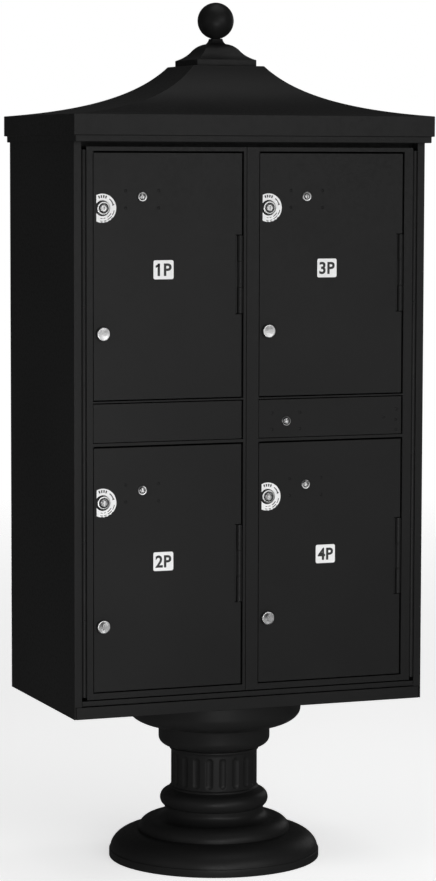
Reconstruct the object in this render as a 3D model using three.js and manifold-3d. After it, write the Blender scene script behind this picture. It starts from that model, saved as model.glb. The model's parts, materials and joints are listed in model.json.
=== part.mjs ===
// Pedestal-mounted cluster mailbox unit with four parcel compartments.
// Millimetres, +Z up, front towards -Y. The origin is at the middle of the foot, on the ground.
import * as THREE from 'three';
import { mergeVertices } from 'three/addons/utils/BufferGeometryUtils.js';
import Module from 'manifold-3d';

const wasm = await Module();
wasm.setup();

// ---------------------------------------------------------------- driving dimensions
const FIT = 0.3; // gap between pieces that touch

const CABINET_W = 775; // over the side panels
const CABINET_D = 432; // front of the jambs to the back panel
const CABINET_H = 1186; // underside of the tray to the top edge of the side panels
const PEDESTAL_H = 354; // ground to the underside of the tray
const WALL = 3; // side, back, top and tray sheet
const SHELF_T = 2; // shelves and partition

const TRAY_H = 25;
const TRAY_INSET = 4; // tray end in from the side panel's outer face
const TRAY_LIP = 17; // width of the fold along the tray's front
const SILL_H = 10.5;
const SILL_GAP = 2; // groove under the sill
const SILL_SETBACK = 0.5;
const SILL_D = 26;

const JAMB_W = 16.5; // front face of each side panel's folded jamb
const JAMB_D = 26; // depth of the jamb's return
const COVE_W = 10.5; // channel between jamb and main door that holds the hinge
const HEAD_GAP = 21; // top of the main doors down from the top of the cabinet
const FOOT_GAP = 2.5; // main doors up from the sill
const HEADER_H = 23;

const MAIN_SHEET = 3; // front sheet of a main door
const MAIN_D = 16; // depth of its returns
const MAIN_GAP = 1.2; // between the two main doors
const STILE_LEFT = 13.5;
const STILE_RIGHT = 19.5;
const STILE_MEET_LEFT = 6; // left door's edge beside the meeting line
const STILE_MEET_RIGHT = 26.8; // right door's edge beside the meeting line
const RAIL_TOP = 8.5;
const RAIL_BOTTOM = 12.5;
const RAIL_UNDER_BAND = 6.2;
const RAIL_OVER_BAND = 3.2;
const BAND_H = 82; // window of the middle panel
const COLLAR_T = 3; // return round each window
const STOP_W = 7; // lip that a parcel door closes on

const DOOR_SHEET = 2.5;
const DOOR_D = 12.5;
const DOOR_RETURN = 2;
const DOOR_GAP_LEFT = 1.5;
const DOOR_GAP_RIGHT = 4;
const DOOR_GAP_TOP = 3.5;
const DOOR_GAP_BOTTOM = 2.5;
const PANEL_GAP_LEFT = 0.8; // middle panel
const PANEL_GAP_RIGHT = 3.5;
const PANEL_GAP_TOP = 2;
const PANEL_GAP_BOTTOM = 1.2;
const PANEL_D = 12;

const HINGE_L = 160; // parcel door hinge
const HINGE_RISE = 2; // hinge centre above the door's middle
const HINGE_R = 6;
const HINGE_PIN_R = 2.4;
const HINGE_SETBACK = 3; // hinge line behind the door's face
const NOTCH_W = 13.5; // cut in the door for the barrel
const NOTCH_END = 1.5; // room above and below the barrel
const LEAF_T = 1.4;
const LEAF_W = 24; // reach of the leaf behind the door
const KNUCKLE_GAP = 0.5;
const PIN_CLEARANCE = 0.3;

const MAIN_HINGE_R = 4.9;
const MAIN_PIN_R = 2;
const MAIN_HINGE_SETBACK = 3;
const MAIN_LEAF_W = 14;
const MAIN_HINGE_END = 6; // hinge short of the door at each end
const MAIN_KNUCKLES = 7;
const PARCEL_KNUCKLES = 3;

const KNOB_R = 14;
const KNOB_X = 19; // from the door's left edge
const KNOB_Z = 134.5; // from the door's lower edge
const KNOB_H = 9;
const KNOB_STEM_R = 3;
const USER_LOCK_X = 21;
const USER_LOCK_DOWN = 111.7; // from the door's upper edge
const USER_PLUG_R = 8;
const USER_SLEEVE_R = 14;
const CARRIER_LOCK_X = 104;
const CARRIER_LOCK_DOWN = 88.8;
const CARRIER_PLUG_R = 5.8;
const CARRIER_SLEEVE_R = 8.8;
const SLEEVE_PROUD = 3;
const SLEEVE_D = 14; // sleeve's reach behind the door's face
const PLUG_PROUD = 5;
const TAIL_R = 4;
const TAIL_L = 5.5;
const CAM_T = 2.5;
const CAM_W = 16;
const CAM_REACH = 34;
const KEYWAY_W = 1.8;
const KEYWAY_H = 8;
const KEYWAY_D = 4;

const MASTER_LOCK_X = 60.5; // from the middle panel's left edge
const MASTER_LOCK_DROP = 5.5; // below the panel's middle
const PINION_MODULE = 2;
const PINION_TEETH = 14;
const PINION_T = 4;
const TOOTH_SLACK = 0.9; // thinning of each tooth
const LATCH_H = 10;
const LATCH_TRAVEL_TEETH = 3.5; // a quarter turn of the pinion
const GUIDE_T = 6;
const GUIDE_STARTS = [1, 19]; // from the middle panel's left edge

const CAP_OVER_FRONT = 30;
const CAP_OVER_SIDE = 9;
const CAP_OVER_REAR = 12.5;
const CAP_STEP_IN = 5; // skirt in from the fascia
const CAP_SKIRT_H = 13;
const CAP_FASCIA_H = 42.5;
const CAP_RISE = 104.5; // roof above the fascia
const CAP_LEDGE = 79; // half width of the flat at the top
const CAP_SHELL = 3;
const CAP_DROP = 11; // skirt below the top of the cabinet
const CAP_SEAT_W = 22; // flange that rests on the cabinet

const PLINTH_HALF = 66.5;
const PLINTH_H = 12.5;
const FINIAL_OGEE_H = 34.5;
const FINIAL_WAIST_HALF = 38; // where the ogee turns from hollow to swell
const FINIAL_WAIST_RISE = 0.64; // share of the ogee's height
const FINIAL_NECK_HALF = 16.7;
const FINIAL_NECK_H = 11;
const FINIAL_TIP_HALF = 11.4; // top of the flared neck, under the ball
const BALL_R = 38.3;
const BALL_SEAT_INSET = 2; // flat under the ball, in from the edge of the neck's tip

const POST_W = 100;
const POST_WALL = 5;
const BASE_W = 280;
const BASE_T = 10;
const TOP_PLATE_W = 230;
const TOP_PLATE_T = 8;
const ANCHOR_SPACING = 220;
const ANCHOR_R = 8;
const CABLE_HOLE_R = 30;

const CAPITAL_R = 186; // the capital is measured down from the tray
const CAPITAL_H = 30;
const BOWL_H = 35;
const NECK_R = 119.5;
const NECK_H = 28;
const OVOLO_H = 20;
const SHAFT_R = 92.4;
const SHAFT_DROP = 124; // top of the shaft
const SHAFT_FOOT = 155; // the base is measured up from the ground
const TORUS_R = 116.2;
const TORUS_Z = 127;
const TORUS_HALF = 19;
const FLARE_R = 150;
const FLARE_IN_R = 106;
const FLARE_Z = 103;
const SWELL_Z = 76;
const SWELL_IN_R = 130; // centre of the swell's curve
const SWELL_TURN = 75; // degrees of it that are used
const FOOT_R = 226;
const RIM_H = 17.5;
const COVER_WALL = 4;
const FLUTES = 20;
const FLUTE_R = 11;
const FLUTE_DEPTH = 3.2;
const LATHE_SIDES = 32;

// ---------------------------------------------------------------- values worked out from them
const front = -CABINET_D / 2;
const back = CABINET_D / 2;
const halfW = CABINET_W / 2;
const mainLeft = -halfW + JAMB_W + COVE_W;
const mainRight = -mainLeft;
const stiles = STILE_LEFT + STILE_RIGHT + STILE_MEET_LEFT + MAIN_GAP + STILE_MEET_RIGHT;
const windowW = (mainRight - mainLeft - stiles) / 2;
const meetLeft = mainLeft + STILE_LEFT + windowW + STILE_MEET_LEFT;
const meetRight = meetLeft + MAIN_GAP;
const sillTop = TRAY_H + SILL_GAP + SILL_H;
const mainBottom = sillTop + FOOT_GAP;
const mainTop = CABINET_H - HEAD_GAP;
const rails = RAIL_TOP + RAIL_BOTTOM + RAIL_UNDER_BAND + RAIL_OVER_BAND;
const windowH = (mainTop - mainBottom - rails - BAND_H) / 2;
const lowerWindowZ = mainBottom + RAIL_BOTTOM;
const bandZ = lowerWindowZ + windowH + RAIL_UNDER_BAND;
const upperWindowZ = bandZ + BAND_H + RAIL_OVER_BAND;
const doorW = windowW - DOOR_GAP_LEFT - DOOR_GAP_RIGHT;
const doorH = windowH - DOOR_GAP_TOP - DOOR_GAP_BOTTOM;
const hingeX = doorW + DOOR_GAP_RIGHT - FIT - LEAF_T / 2 - HINGE_R; // from the door's left edge
const hingeZ = doorH / 2 + HINGE_RISE - HINGE_L / 2;
const camY = MAIN_D + 1;
const pitchR = PINION_MODULE * PINION_TEETH / 2;
const toothPitch = Math.PI * PINION_MODULE;
const shelfFront = front + MAIN_D + 20;
const shelfBack = back - WALL - FIT;
const partitionX = (meetLeft + meetRight) / 2;

// ---------------------------------------------------------------- solids and placing
// A closed three.js geometry as a solid; a surface that came out inside out is turned round.
function solid(geometry) {
  const g = geometry.clone();
  g.deleteAttribute('normal');
  g.deleteAttribute('uv');
  const merged = mergeVertices(g, 1e-4);
  const vertProperties = new Float32Array(merged.attributes.position.array);
  const triVerts = Uint32Array.from(merged.index.array);
  const corner = (i) => new THREE.Vector3().fromArray(vertProperties, triVerts[i] * 3);
  let volume = 0;
  for (let i = 0; i < triVerts.length; i += 3) {
    volume += corner(i).dot(corner(i + 1).cross(corner(i + 2)));
  }
  if (volume < 0) {
    for (let i = 0; i < triVerts.length; i += 3) {
      [triVerts[i + 1], triVerts[i + 2]] = [triVerts[i + 2], triVerts[i + 1]];
    }
  }
  return new wasm.Manifold(new wasm.Mesh({ numProp: 3, vertProperties, triVerts }));
}

function geometryOf(body) {
  const mesh = body.getMesh();
  const g = new THREE.BufferGeometry();
  g.setAttribute('position', new THREE.BufferAttribute(new Float32Array(mesh.vertProperties), 3));
  g.setIndex(new THREE.BufferAttribute(new Uint32Array(mesh.triVerts), 1));
  g.computeVertexNormals();
  return g;
}

function box(x0, x1, y0, y1, z0, z1) {
  const g = new THREE.BoxGeometry(x1 - x0, y1 - y0, z1 - z0);
  return solid(g.translate((x0 + x1) / 2, (y0 + y1) / 2, (z0 + z1) / 2));
}

function join(...bodies) {
  return bodies.reduce((sum, body) => sum.add(body));
}

function outline(points) {
  return new THREE.Shape(points.map(([u, v]) => new THREE.Vector2(u, v)));
}

// A shape drawn in X and Z, pushed from y0 to y1.
function throughY(shape, y0, y1, curveSegments = 8) {
  const g = new THREE.ExtrudeGeometry(shape, { depth: y1 - y0, bevelEnabled: false, curveSegments });
  return solid(g.rotateX(Math.PI / 2).translate(0, y1, 0));
}

// A shape drawn in Y and Z, pushed from x0 to x1.
function throughX(shape, x0, x1) {
  const g = new THREE.ExtrudeGeometry(shape, { depth: x1 - x0, bevelEnabled: false });
  const turn = new THREE.Matrix4().makeBasis(
    new THREE.Vector3(0, 1, 0), new THREE.Vector3(0, 0, 1), new THREE.Vector3(1, 0, 0));
  return solid(g.applyMatrix4(turn).translate(x0, 0, 0));
}

function barY(x, z, r, y0, y1, sides = 16) {
  const g = new THREE.CylinderGeometry(r, r, y1 - y0, sides);
  return solid(g.translate(x, (y0 + y1) / 2, z));
}

function barZ(x, y, r, z0, z1, sides = 12) {
  const g = new THREE.CylinderGeometry(r, r, z1 - z0, sides);
  return solid(g.rotateX(Math.PI / 2).translate(x, y, (z0 + z1) / 2));
}

// A profile of [radius, y] turned about the Y axis.
function turnedY(profile, sides = 16) {
  return solid(new THREE.LatheGeometry(profile.map(([r, y]) => new THREE.Vector2(r, y)), sides));
}

// A profile of [radius, z] turned about the Z axis.
function turnedZ(profile, sides) {
  const g = new THREE.LatheGeometry(profile.map(([r, z]) => new THREE.Vector2(r, z)), sides);
  return solid(g.rotateX(Math.PI / 2));
}

const finish = (color, roughness, metalness) => ({ color, roughness, metalness });
const BLACK_COAT = finish(0x1b1b1d, 0.42, 0.2);
const INNER_COAT = finish(0x1c1c1e, 0.55, 0.2);
const STEEL = finish(0xb9bbbd, 0.35, 1);
const ZINC = finish(0x9a9c9f, 0.45, 1);
const BRASS = finish(0xb08d4a, 0.4, 1);

function piece(group, name, body, look) {
  const mesh = new THREE.Mesh(geometryOf(body), new THREE.MeshStandardMaterial(look));
  mesh.name = name;
  group.add(mesh);
  return mesh;
}

// ---------------------------------------------------------------- cabinet
function sidePanel(side) {
  const span = (a, b) => (side < 0 ? [-b, -a] : [a, b]);
  const inner = halfW - JAMB_W;
  const foldZ = TRAY_H + FIT;
  return join(
    box(...span(halfW - WALL, halfW), front, back, 0, CABINET_H),
    box(...span(inner, halfW), front, front + WALL, foldZ, CABINET_H),
    box(...span(inner, inner + WALL), front, front + JAMB_D, foldZ, CABINET_H),
  );
}

function bottomPan() {
  const rear = back - WALL - FIT;
  const half = halfW - TRAY_INSET;
  return throughX(outline([
    [front, 0], [rear, 0], [rear, WALL], [front + WALL, WALL], [front + WALL, TRAY_H - WALL],
    [front + TRAY_LIP, TRAY_H - WALL], [front + TRAY_LIP, TRAY_H], [front, TRAY_H],
  ]), -half, half);
}

function sillRail() {
  const half = halfW - JAMB_W - FIT;
  const face = front + SILL_SETBACK;
  const low = TRAY_H + SILL_GAP;
  return throughX(outline([
    [face, low], [face + WALL, low], [face + WALL, sillTop - WALL], [face + SILL_D, sillTop - WALL],
    [face + SILL_D, sillTop], [face, sillTop],
  ]), -half, half);
}

function topPanel() {
  const half = halfW - WALL - FIT;
  const face = front + JAMB_D + FIT;
  return throughX(outline([
    [face, CABINET_H], [face, CABINET_H - HEADER_H], [face + WALL, CABINET_H - HEADER_H],
    [face + WALL, CABINET_H - WALL], [shelfBack, CABINET_H - WALL], [shelfBack, CABINET_H],
  ]), -half, half);
}

// A full-width shelf, slotted from the front for the partition.
function shelf(z, slotted) {
  const half = halfW - WALL - FIT;
  const plate = box(-half, half, shelfFront, shelfBack, z, z + SHELF_T);
  if (!slotted) return plate;
  const slotHalf = SHELF_T / 2 + FIT;
  const slotEnd = (shelfFront + shelfBack) / 2 + FIT;
  return plate.subtract(
    box(partitionX - slotHalf, partitionX + slotHalf, shelfFront - 1, slotEnd, z - 1, z + SHELF_T + 1));
}

const floorZ = lowerWindowZ - SHELF_T - 2;
const lowerShelfZ = bandZ - RAIL_UNDER_BAND / 2 - SHELF_T;
const upperShelfZ = upperWindowZ - RAIL_OVER_BAND / 2 - SHELF_T / 2;

// The upright sheet between the columns, slotted from the back for the shelves.
function centrePartition() {
  const low = floorZ + SHELF_T + FIT;
  const high = CABINET_H - WALL - FIT;
  const plate = box(partitionX - SHELF_T / 2, partitionX + SHELF_T / 2, shelfFront, shelfBack, low, high);
  const slotStart = (shelfFront + shelfBack) / 2 - FIT;
  return [lowerShelfZ, upperShelfZ].reduce((sheet, z) => sheet.subtract(
    box(partitionX - SHELF_T, partitionX + SHELF_T, slotStart, shelfBack + 1, z - FIT, z + SHELF_T + FIT),
  ), plate);
}

// ---------------------------------------------------------------- roof and finial
// Levels of [distance out from the square top as a share of the eave's, height above the eave].
function roofLevels(steps) {
  const curve = new THREE.CubicBezierCurve(
    new THREE.Vector2(0, 1), new THREE.Vector2(0.2, 0.37),
    new THREE.Vector2(0.55, 0.11), new THREE.Vector2(1, 0));
  return curve.getPoints(steps).map((p) => [p.x, p.y]);
}

// A body whose level sections are rectangles, from two crossed outlines of [half or reach, height].
function crossed(alongX, alongY) {
  const reach = 2000;
  const first = throughY(outline(alongX), -reach, reach);
  return first.intersect(throughX(outline(alongY), -reach, reach));
}

function mirroredOutline(rightSide) {
  return [...rightSide, ...rightSide.map(([u, v]) => [-u, v]).reverse()];
}

function roofForm(half, reachFront, reachRear, ledge, low, rise) {
  const out = (edge) => roofLevels(8).map(([t, h]) => [ledge + t * (edge - ledge), low + h * rise]).reverse();
  const side = out(half);
  const rear = out(reachRear);
  const nose = out(reachFront).map(([u, v]) => [-u, v]).reverse();
  return crossed(mirroredOutline(side), [...rear, ...nose]);
}

function roofCap() {
  const eave = CABINET_H - CAP_DROP + CAP_SKIRT_H;
  const roofZ = eave + CAP_FASCIA_H;
  const half = halfW + CAP_OVER_SIDE;
  const nose = -front + CAP_OVER_FRONT;
  const rear = back + CAP_OVER_REAR;
  const block = (inset, z0, z1) => box(-half + inset, half - inset, -nose + inset, rear - inset, z0, z1);
  const outer = join(
    block(CAP_STEP_IN, CABINET_H - CAP_DROP, eave + 1),
    block(0, eave, roofZ + 0.01),
    roofForm(half, nose, rear, CAP_LEDGE, roofZ, CAP_RISE),
  );
  const t = CAP_SHELL;
  const hollow = join(
    block(CAP_STEP_IN + t, CABINET_H - CAP_DROP - 1, eave + t + 1),
    block(t, eave + t, roofZ - t),
    roofForm(half - t, nose - t, rear - t, CAP_LEDGE - t, roofZ - t - 0.01, CAP_RISE - 1),
  );
  const seatZ = CABINET_H + FIT;
  const inner = halfW - CAP_SEAT_W;
  const seat = block(CAP_STEP_IN + 1, seatZ, seatZ + t).subtract(
    box(-inner, inner, front + CAP_SEAT_W, back - CAP_SEAT_W, seatZ - 1, seatZ + t + 1));
  return outer.subtract(hollow).add(seat);
}

const finialZ = CABINET_H - CAP_DROP + CAP_SKIRT_H + CAP_FASCIA_H + CAP_RISE + FIT;
const ogeeTop = finialZ + PLINTH_H + FINIAL_OGEE_H;
const neckTop = ogeeTop + FINIAL_NECK_H;

function finialBase() {
  const low = finialZ + PLINTH_H;
  const stations = [
    [PLINTH_HALF, low], [PLINTH_HALF - 18, low + 6.5], // end and pull of the hollow
    [FINIAL_WAIST_HALF, low + FINIAL_OGEE_H * FINIAL_WAIST_RISE], [FINIAL_WAIST_HALF - 9, ogeeTop - 2],
    [FINIAL_NECK_HALF, ogeeTop], [FINIAL_TIP_HALF + 1, ogeeTop + 4], [FINIAL_TIP_HALF, neckTop],
  ].map(([u, v]) => new THREE.Vector2(u, v));
  const side = [0, 2, 4].flatMap((i) => {
    const curve = new THREE.QuadraticBezierCurve(stations[i], stations[i + 1], stations[i + 2]);
    return curve.getPoints(4).slice(i ? 1 : 0).map((p) => [p.x, p.y]);
  });
  const shape = mirroredOutline([[PLINTH_HALF, finialZ], ...side]);
  return crossed(shape, shape);
}

function finialBall() {
  const g = new THREE.SphereGeometry(BALL_R, 16, 10);
  const seatR = FINIAL_TIP_HALF - BALL_SEAT_INSET;
  const centre = neckTop + FIT + Math.sqrt(BALL_R ** 2 - seatR ** 2) - 0.01;
  const ball = solid(g.rotateX(Math.PI / 2).translate(0, 0, centre));
  return ball.subtract(box(-BALL_R, BALL_R, -BALL_R, BALL_R, centre - 2 * BALL_R, neckTop + FIT));
}

// ---------------------------------------------------------------- pedestal
function pedestalPost() {
  const plate = (w, z0, z1) => box(-w / 2, w / 2, -w / 2, w / 2, z0, z1);
  const top = PEDESTAL_H - FIT;
  const bore = POST_W - 2 * POST_WALL;
  let post = join(
    plate(BASE_W, 0, BASE_T),
    plate(POST_W, BASE_T - 1, top - 1).subtract(plate(bore, BASE_T, top)),
    plate(TOP_PLATE_W, top - TOP_PLATE_T, top).subtract(
      barZ(0, 0, CABLE_HOLE_R, top - TOP_PLATE_T - 1, top + 1, 20)),
  );
  for (const x of [-1, 1]) {
    for (const y of [-1, 1]) {
      const at = ANCHOR_SPACING / 2;
      post = post.subtract(barZ(x * at, y * at, ANCHOR_R, -1, BASE_T + 1, 10));
    }
  }
  return post;
}

// Points along part of an ellipse, angles in degrees from the outward direction.
function arc(r, z, a, b, from, to, steps) {
  return Array.from({ length: steps + 1 }, (_, i) => {
    const angle = (from + (to - from) * i / steps) * Math.PI / 180;
    return [r + a * Math.cos(angle), z + b * Math.sin(angle)];
  });
}

function coverShell() {
  const top = PEDESTAL_H - FIT;
  const bowlZ = PEDESTAL_H - CAPITAL_H;
  const neckZ = bowlZ - BOWL_H;
  const ovoloZ = neckZ - NECK_H;
  const shaftTop = PEDESTAL_H - SHAFT_DROP;
  const bead = 3.5;
  const outer = [
    [CAPITAL_R, top],
    ...arc(NECK_R + bead, bowlZ, CAPITAL_R - NECK_R - bead, BOWL_H, 0, -90, 5),
    [NECK_R, neckZ - 2],
    ...arc(SHAFT_R + 2, ovoloZ, NECK_R - SHAFT_R - 2, OVOLO_H, 0, -90, 4),
    [SHAFT_R + bead, ovoloZ - OVOLO_H - 2],
    [SHAFT_R + bead, ovoloZ - OVOLO_H - 8],
    [SHAFT_R, shaftTop],
    [SHAFT_R, SHAFT_FOOT],
    [SHAFT_R + bead, SHAFT_FOOT - 5],
    ...arc(TORUS_R - TORUS_HALF, TORUS_Z, TORUS_HALF, TORUS_HALF, 75, -60, 6),
    [FLARE_IN_R, FLARE_Z],
    ...arc(FLARE_R, FLARE_Z, FLARE_IN_R - FLARE_R, 24, 0, -90, 4),
    ...arc(SWELL_IN_R, RIM_H, FOOT_R - SWELL_IN_R - 4, SWELL_Z - RIM_H, SWELL_TURN, 0, 6),
    [FOOT_R, RIM_H],
    [FOOT_R, 0],
  ];
  const t = COVER_WALL;
  const bore = SHAFT_R - t - FLUTE_DEPTH;
  const inner = [
    [FOOT_R - 2 * t, 0],
    ...arc(SWELL_IN_R, RIM_H - 2, FOOT_R - SWELL_IN_R - 3 * t, SWELL_Z - RIM_H - t, 0, SWELL_TURN, 5),
    [FLARE_R - 4 * t, FLARE_Z - 7 * t],
    [FLARE_IN_R + 2 * t, FLARE_Z - 5.5 * t],
    [FLARE_IN_R - 2 * t, FLARE_Z - 2 * t],
    [FLARE_IN_R - 2 * t, TORUS_Z - TORUS_HALF / 2],
    [bore, SHAFT_FOOT - 4 * t],
    [bore, ovoloZ - OVOLO_H + 2 * t],
    [NECK_R - t, ovoloZ + t],
    [NECK_R - t, neckZ + 2 * t],
    [CAPITAL_R - 3 * t, bowlZ - t],
    [CAPITAL_R - t, bowlZ + 2 * t],
    [CAPITAL_R - t, top],
  ];
  let shell = turnedZ([...outer, ...inner, outer[0]], LATHE_SIDES);
  const centreR = SHAFT_R + FLUTE_R - FLUTE_DEPTH;
  for (let i = 0; i < FLUTES; i++) {
    const angle = (i + 0.5) * 2 * Math.PI / FLUTES;
    const [x, y] = [centreR * Math.cos(angle), centreR * Math.sin(angle)];
    shell = shell.subtract(barZ(x, y, FLUTE_R, SHAFT_FOOT + t, shaftTop - t, 16));
  }
  return shell;
}

function coverHalf(shell, side) {
  const reach = FOOT_R + 1;
  const [y0, y1] = side < 0 ? [-reach, -FIT / 2] : [FIT / 2, reach];
  return shell.intersect(box(-reach, reach, y0, y1, -1, PEDESTAL_H));
}

// ---------------------------------------------------------------- hinges
// Knuckles of one leaf: every second length of the barrel, bored for the pin.
function knuckles(x, y, z0, length, count, first, r, pinR) {
  const each = length / count;
  const list = [];
  for (let i = first; i < count; i += 2) {
    const low = z0 + i * each + (i ? KNUCKLE_GAP / 2 : 0);
    const high = z0 + (i + 1) * each - (i < count - 1 ? KNUCKLE_GAP / 2 : 0);
    list.push([low, high]);
  }
  const bore = barZ(x, y, pinR + PIN_CLEARANCE, z0 - 1, z0 + length + 1, 10);
  return { list, bore, tube: ([low, high]) => barZ(x, y, r, low, high) };
}

function hingeLeaf(x, y, z0, length, count, first, r, pinR, plate) {
  const k = knuckles(x, y, z0, length, count, first, r, pinR);
  const other = knuckles(x, y, z0, length, count, 1 - first, r, pinR);
  const clear = r + KNUCKLE_GAP;
  let leaf = box(...plate, z0, z0 + length);
  for (const [low, high] of other.list) {
    leaf = leaf.subtract(box(x - clear, x + clear, y - clear, y + clear,
      low - KNUCKLE_GAP, high + KNUCKLE_GAP));
  }
  for (const span of k.list) leaf = leaf.add(k.tube(span));
  return leaf.subtract(k.bore);
}

const mainHingeZ = mainBottom + MAIN_HINGE_END;
const mainHingeL = mainTop - mainBottom - 2 * MAIN_HINGE_END;
const mainHingeY = front + MAIN_HINGE_SETBACK;

function mainHinge(side, onDoor) {
  const x = side * (halfW - JAMB_W - COVE_W / 2);
  const wall = COVE_W / 2 - FIT;
  const toDoor = onDoor ? -side : side;
  const edges = [x + toDoor * wall, x + toDoor * (wall - LEAF_T)].sort((a, b) => a - b);
  const plate = [...edges, mainHingeY, mainHingeY + (onDoor ? MAIN_D - MAIN_HINGE_SETBACK : MAIN_LEAF_W)];
  return hingeLeaf(x, mainHingeY, mainHingeZ, mainHingeL, MAIN_KNUCKLES, onDoor ? 1 : 0,
    MAIN_HINGE_R, MAIN_PIN_R, plate);
}

function mainHingePin(side) {
  const x = side * (halfW - JAMB_W - COVE_W / 2);
  return barZ(x, mainHingeY, MAIN_PIN_R, mainHingeZ, mainHingeZ + mainHingeL, 10);
}

// ---------------------------------------------------------------- main doors
function windowCollar(x, z, w, h) {
  const t = COLLAR_T;
  const ring = box(x - t, x + w + t, front, front + MAIN_D, z - t, z + h + t);
  return ring.subtract(box(x, x + w, front - 1, front + MAIN_D + 1, z, z + h));
}

function mainFrame(x0, x1, windowX) {
  const rear = front + MAIN_D;
  const t = MAIN_SHEET;
  let frame = box(x0, x1, front, rear, mainBottom, mainTop)
    .subtract(box(x0 + t, x1 - t, front + t, rear + 1, mainBottom + t, mainTop - t));
  const openings = [[lowerWindowZ, windowH], [bandZ, BAND_H], [upperWindowZ, windowH]];
  for (const [z, h] of openings) {
    frame = frame.subtract(box(windowX, windowX + windowW, front - 1, rear + 1, z, z + h));
  }
  const limit = box(x0, x1, front, rear, mainBottom, mainTop);
  for (const [z, h] of openings) frame = frame.add(windowCollar(windowX, z, windowW, h).intersect(limit));
  for (const z of [lowerWindowZ, upperWindowZ]) {
    const stop = box(windowX - 1, windowX + STOP_W, rear - COLLAR_T, rear, z - 1, z + windowH + 1);
    frame = frame.add(stop.intersect(limit));
  }
  return frame;
}

function tray(w, h, depth, sheet, wall) {
  return box(0, w, 0, depth, 0, h).subtract(box(wall, w - wall, sheet, depth + 1, wall, h - wall));
}

const panelW = windowW - PANEL_GAP_LEFT - PANEL_GAP_RIGHT;
const panelH = BAND_H - PANEL_GAP_TOP - PANEL_GAP_BOTTOM;
const masterLockRise = panelH / 2 - MASTER_LOCK_DROP; // from the panel's lower edge
const latchTop = masterLockRise - pitchR - 1.25 * PINION_MODULE;

// Middle panels are drawn from their lower left corner, face at y = 0.
function middlePanel(withLock) {
  let panel = tray(panelW, panelH, PANEL_D, DOOR_SHEET, DOOR_RETURN);
  if (!withLock) return panel;
  const z = masterLockRise;
  panel = panel.add(barY(MASTER_LOCK_X, z, CARRIER_SLEEVE_R, -SLEEVE_PROUD, SLEEVE_D));
  panel = panel.subtract(barY(MASTER_LOCK_X, z, CARRIER_PLUG_R + FIT, -SLEEVE_PROUD - 1, SLEEVE_D + 1));
  const room = FIT + 0.2;
  for (const start of GUIDE_STARTS) {
    const guide = box(start, start + GUIDE_T, DOOR_SHEET - 0.5, camY + PINION_T + 3, latchTop - LATCH_H - 4,
      latchTop + 4);
    const slot = box(start - 1, start + GUIDE_T + 1, camY - room, camY + PINION_T + room,
      latchTop - LATCH_H - room, latchTop + room);
    panel = panel.add(guide.subtract(slot));
  }
  return panel;
}

// ---------------------------------------------------------------- master lock and latch
function toothOutline(half, addendum, dedendum) {
  const slope = Math.tan(20 * Math.PI / 180);
  return [[half + dedendum * slope, -dedendum], [half - addendum * slope, addendum]];
}

const toothHalf = (toothPitch / 2 - TOOTH_SLACK) / 2;
const addendum = 0.85 * PINION_MODULE;
const dedendum = 1.25 * PINION_MODULE;

// Plug with a toothed wheel on its inner end. Drawn about the lock's axis, door face at y = 0.
function masterRotor() {
  const plug = lockPlug(CARRIER_PLUG_R, MAIN_D, false);
  const [root, tip] = toothOutline(toothHalf, addendum, dedendum);
  const points = [];
  for (let i = 0; i < PINION_TEETH; i++) {
    const turn = (i + 0.5) * 2 * Math.PI / PINION_TEETH - Math.PI / 2;
    for (const [w, h] of [[-root[0], root[1]], [-tip[0], tip[1]], [tip[0], tip[1]], [root[0], root[1]]]) {
      const r = pitchR + h;
      const angle = turn + w / r * (h < 0 ? 0.9 : 1);
      points.push([r * Math.cos(angle), r * Math.sin(angle)]);
    }
  }
  return plug.add(throughY(outline(points), camY, camY + PINION_T)).add(
    barY(0, 0, TAIL_R, MAIN_D - 1, camY + 1, 12));
}

// Bar with a toothed upper edge. Drawn from the lock's axis; slides towards -X to lock.
function latchBar() {
  const pitchZ = -pitchR;
  const rootZ = pitchZ - dedendum;
  const left = meetRight + DOOR_GAP_RIGHT - rightPanelX - MASTER_LOCK_X;
  const last = Math.ceil(LATCH_TRAVEL_TEETH) + 1;
  const right = (last + 0.5) * toothPitch;
  const [root, tip] = toothOutline(toothHalf, addendum, dedendum);
  const points = [[left, rootZ - LATCH_H], [right, rootZ - LATCH_H], [right, rootZ]];
  for (let i = last; i >= -1; i--) {
    const x = i * toothPitch;
    points.push([x + root[0], pitchZ + root[1]], [x + tip[0], pitchZ + tip[1]]);
    points.push([x - tip[0], pitchZ + tip[1]], [x - root[0], pitchZ + root[1]]);
  }
  points.push([left, rootZ]);
  return throughY(outline(points), camY, camY + PINION_T);
}

// ---------------------------------------------------------------- parcel doors, from the lower left corner
const userLock = [USER_LOCK_X, doorH - USER_LOCK_DOWN];
const carrierLock = [CARRIER_LOCK_X, doorH - CARRIER_LOCK_DOWN];

function parcelDoor() {
  let door = tray(doorW, doorH, DOOR_D, DOOR_SHEET, DOOR_RETURN);
  door = door.subtract(box(doorW - NOTCH_W, doorW + 1, -1, DOOR_D + 1,
    hingeZ - NOTCH_END, hingeZ + HINGE_L + NOTCH_END));
  const sleeves = [[userLock, USER_SLEEVE_R, USER_PLUG_R], [carrierLock, CARRIER_SLEEVE_R, CARRIER_PLUG_R]];
  for (const [[x, z], outerR, plugR] of sleeves) {
    door = door.add(barY(x, z, outerR, -SLEEVE_PROUD, SLEEVE_D));
    door = door.subtract(barY(x, z, plugR + FIT, -SLEEVE_PROUD - 1, SLEEVE_D + 1));
  }
  return door.subtract(barY(KNOB_X, KNOB_Z, KNOB_STEM_R + FIT, -1, DOOR_D, 12));
}

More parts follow.
